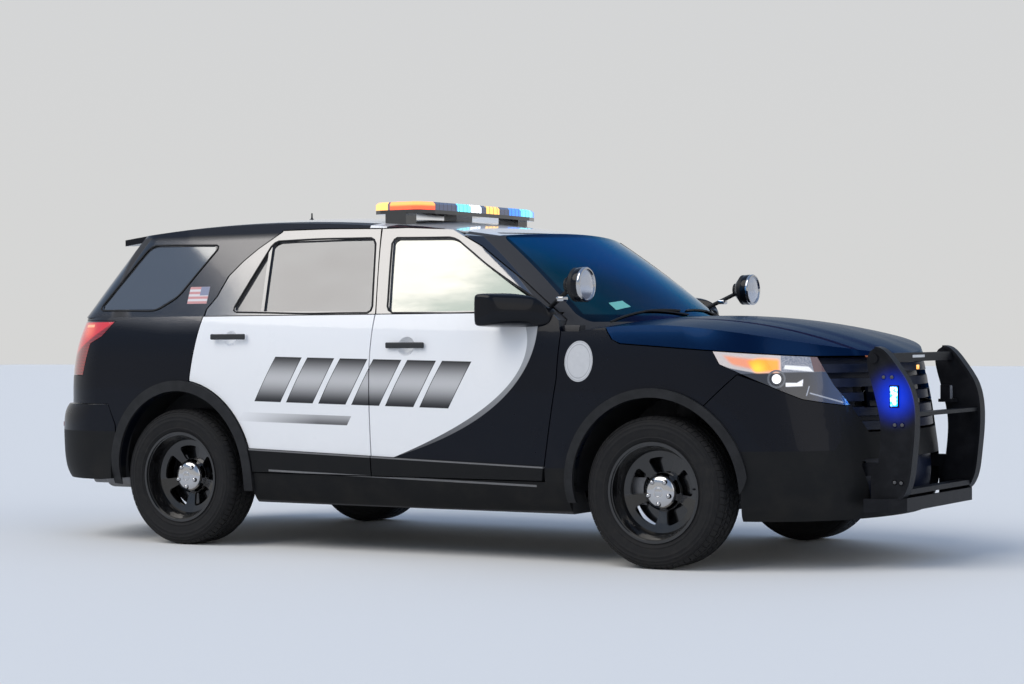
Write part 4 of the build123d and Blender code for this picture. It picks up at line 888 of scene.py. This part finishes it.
# Push bumper: bolts, lamps in their brackets and a blank maker's place
BOLT = mm((0.3, 6.2), (6.5, 6), (8.5, 4.5), (9, 0), (13, 0), (13.5, -2))
UPRIGHT = 0.474  # outer face of the uprights
BOLT_PLACES = mm((2454, 681), (2491, 681), (2452, 412), (2484, 410), (2400, 905), (2441, 905))
for hand, s in HANDS:
    turn, bolts = Vector((0, 0, 1)).rotation_difference(Vector((0, s, 0))).to_matrix().to_4x4(), []
    for x, z in BOLT_PLACES:
        bolts.append(turned(BOLT, 10))
        bolts[-1].transform(Matrix.Translation((x, s * UPRIGHT, z)) @ turn)
    finished(f"push_bumper_bolts_{hand}", join(*bolts), satin_edge)
for (hand, s), finish in zip(HANDS, (blue_lit, red_lit)):
    for name, x, y, z, surface, slot, bevel in (
            ("side_lamp_case", (2.43, 2.478), (0.4735, 0.483), (0.762, 0.868), black_gloss, "dark_trim", 0.003),
            ("side_lamp", (2.437, 2.471), (0.48, 0.4885), (0.77, 0.86), finish, "lamp_clear", 0.003),
            ("front_lamp", (2.424, 2.431), (0.336, 0.362), (0.776, 0.849), clear_lens, "lamp_clear", 0.002)):
        finished(f"{name}_{hand}", block(x, (s * y[0], s * y[1]), z), surface, slot=slot, bevel=bevel)
form = block((2.4075, 2.413), (-0.075, -0.045), (0.936, 0.958))
finished("marker_lamp", form, amber_lit, slot="lamp_clear", bevel=0.002)
form = block((2.4075, 2.4095), (-0.125, 0.035), (0.993, 1.006))
finished("push_bumper_label", form, plate_blank, bevel=0.0006)

# Short aerial
whip = turned(mm((24, -4), (24, 4), (18, 12), (9, 17), (5.5, 20), (4.5, 30), (4.2, 46), (2.5, 50), (0.3, 50.5)), 20)
whip.transform(Matrix.Translation((-1.246, 0, 1.7645)))
finished("aerial", whip, dark_trim)

# Rear: blank plate in its frame, handle, high lamp, reflectors, wiper
back_skin = Skin("liftgate", "liftgate_glass", "rear_bumper")
SLOPE = (back_skin.rear(0.0, 0.99).x - back_skin.rear(0.0, 0.86).x) / 0.13


def rear_plate(y0, y1, z0, z1, thick, lift=0.0, flat=False):
    """Plate on the rear face between its corners, following it or standing flat clear of it."""
    wide, tall = (8, 3) if y1 - y0 > z1 - z0 else (3, 8)
    spots = [[back_skin.rear(y0 + (y1 - y0) * i / wide, z0 + (z1 - z0) * j / tall, lift) for i in range(wide + 1)]
             for j in range(tall + 1)]
    if flat:
        base = min(p.x - (p.z - z0) * SLOPE for line in spots for p in line)
        spots = [[Vector((base + (p.z - z0) * SLOPE, p.y, p.z)) for p in line] for line in spots]
    return sheet(spots, (-thick, 0, 0))


frame_bars = join(*(rear_plate(-0.162, 0.162, low, low + 0.01, 0.018, -0.008, True) for low in (0.982, 0.86)))
for name, form, finish, bevel in (
        ("number_plate_rear", rear_plate(-0.152, 0.152, 0.868, 0.984, 0.004, 0.006, True), plate_blank, 0.0008),
        ("number_plate_frame", frame_bars, black_gloss, 0.0015),
        ("liftgate_handle", rear_plate(-0.26, 0.26, 1.02, 1.056, 0.016, 0.001), chrome, 0.006)):
    finished(name, form, finish, "liftgate", bevel=bevel)
high_lamp = rear_plate(-0.17, 0.17, 1.661, 1.675, 0.004, 0.0, True)
finished("high_stop_lamp", high_lamp, tail_lens, "liftgate", "lamp_red", 0.001)
for hand, s in HANDS:
    form = rear_plate(*sorted((s * 0.6, s * 0.76)), 0.615, 0.64, 0.006, 0.003)
    finished(f"rear_reflector_{hand}", form, tail_lens, slot="lamp_red", bevel=0.002)
blade = [back_skin.rear(-0.02 - 0.036 * t, 1.278 + 0.0015 * t, 0.012) for t in range(11)]
arm = [back_skin.rear(*place) for place in ((0.02, 1.245, 0.012), (-0.08, 1.262, 0.026), (-0.2, 1.284, 0.02))]
form = join(swept(blade, bar_section(0.005, 0.004, 0.005, 0.005)),
            swept(curved(arm, 6), bar_section(0.008, 0.006, 0.005, 0.006)))
finished("rear_wiper", form, window_rubber, "liftgate")


# Studio
size = 60.0
mesh = bpy.data.meshes.new("floor")
mesh.from_pydata([(-size, -size, 0), (size, -size, 0), (size, size, 0), (-size, size, 0)], [], [(0, 1, 2, 3)])
floor = added("floor", mesh)
pale = Finish("pale floor", Base_Color=(0.78, 0.78, 0.77), Roughness=0.8)
mesh.materials.append(pale.material)

world = bpy.data.worlds.new("studio")
bpy.context.scene.world = world
world.use_nodes = True
tree = world.node_tree
background = tree.nodes["Background"]
height = tree.nodes.new("ShaderNodeSeparateXYZ")
sky = tree.nodes.new("ShaderNodeValToRGB")
tree.links.new(tree.nodes.new("ShaderNodeTexCoord").outputs["Generated"], height.inputs["Vector"])
tree.links.new(height.outputs["Z"], sky.inputs["Fac"])
stops = ((0.0, (0.84, 0.84, 0.83)), (0.17, (0.82, 0.83, 0.84)), (0.36, (0.46, 0.6, 0.82)), (1.0, (0.34, 0.47, 0.74)))
while len(sky.color_ramp.elements) < len(stops):
    sky.color_ramp.elements.new(1)
for element, (position, shade) in zip(sky.color_ramp.elements, stops):
    element.position, element.color = position, (*shade, 1)
tree.links.new(sky.outputs["Color"], background.inputs["Color"])
background.inputs["Strength"].default_value = 0.8

for name, place, spread, power, tone, specular in (
        ("key", (-0.36, -0.62, 0.84), 48, 1.75, (1.0, 0.935, 0.83), 1.0),
        ("front", (0.86, -0.25, 0.45), 50, 0.45, (1.0, 0.94, 0.86), 0.0)):
    lamp = bpy.data.lights.new(name, "SUN")
    lamp.angle, lamp.energy, lamp.color = radians(spread), power, tone
    lamp.specular_factor = specular
    added(name, lamp).rotation_euler = (-Vector(place)).to_track_quat("-Z", "Y").to_euler()

# The camera fitted to the photograph: focal length in pixels of its width, where it looks in radians
sensor, focal, wide = 36, 2289.97, 1024
around, pitch, roll = 0.543232, -0.0033695, -0.0064875
ahead = Vector((-sin(around) * cos(pitch), cos(around) * cos(pitch), sin(pitch)))
right = Vector((cos(around), sin(around), 0))
up = right.cross(ahead)
side = right * cos(roll) + up * sin(roll)
top = up * cos(roll) - right * sin(roll)
data = bpy.data.cameras.new("camera")
data.lens, data.sensor_width, data.sensor_fit = sensor * focal / wide, sensor, "HORIZONTAL"
camera = bpy.context.scene.camera = added("camera", data)
turn = Matrix((side, top, -ahead)).transposed().to_4x4()
camera.matrix_world = Matrix.Translation((6.48833, -10.57089, 1.11785)) @ turn
bpy.context.scene.view_settings.view_transform = "Standard"

bpy.context.view_layer.update()
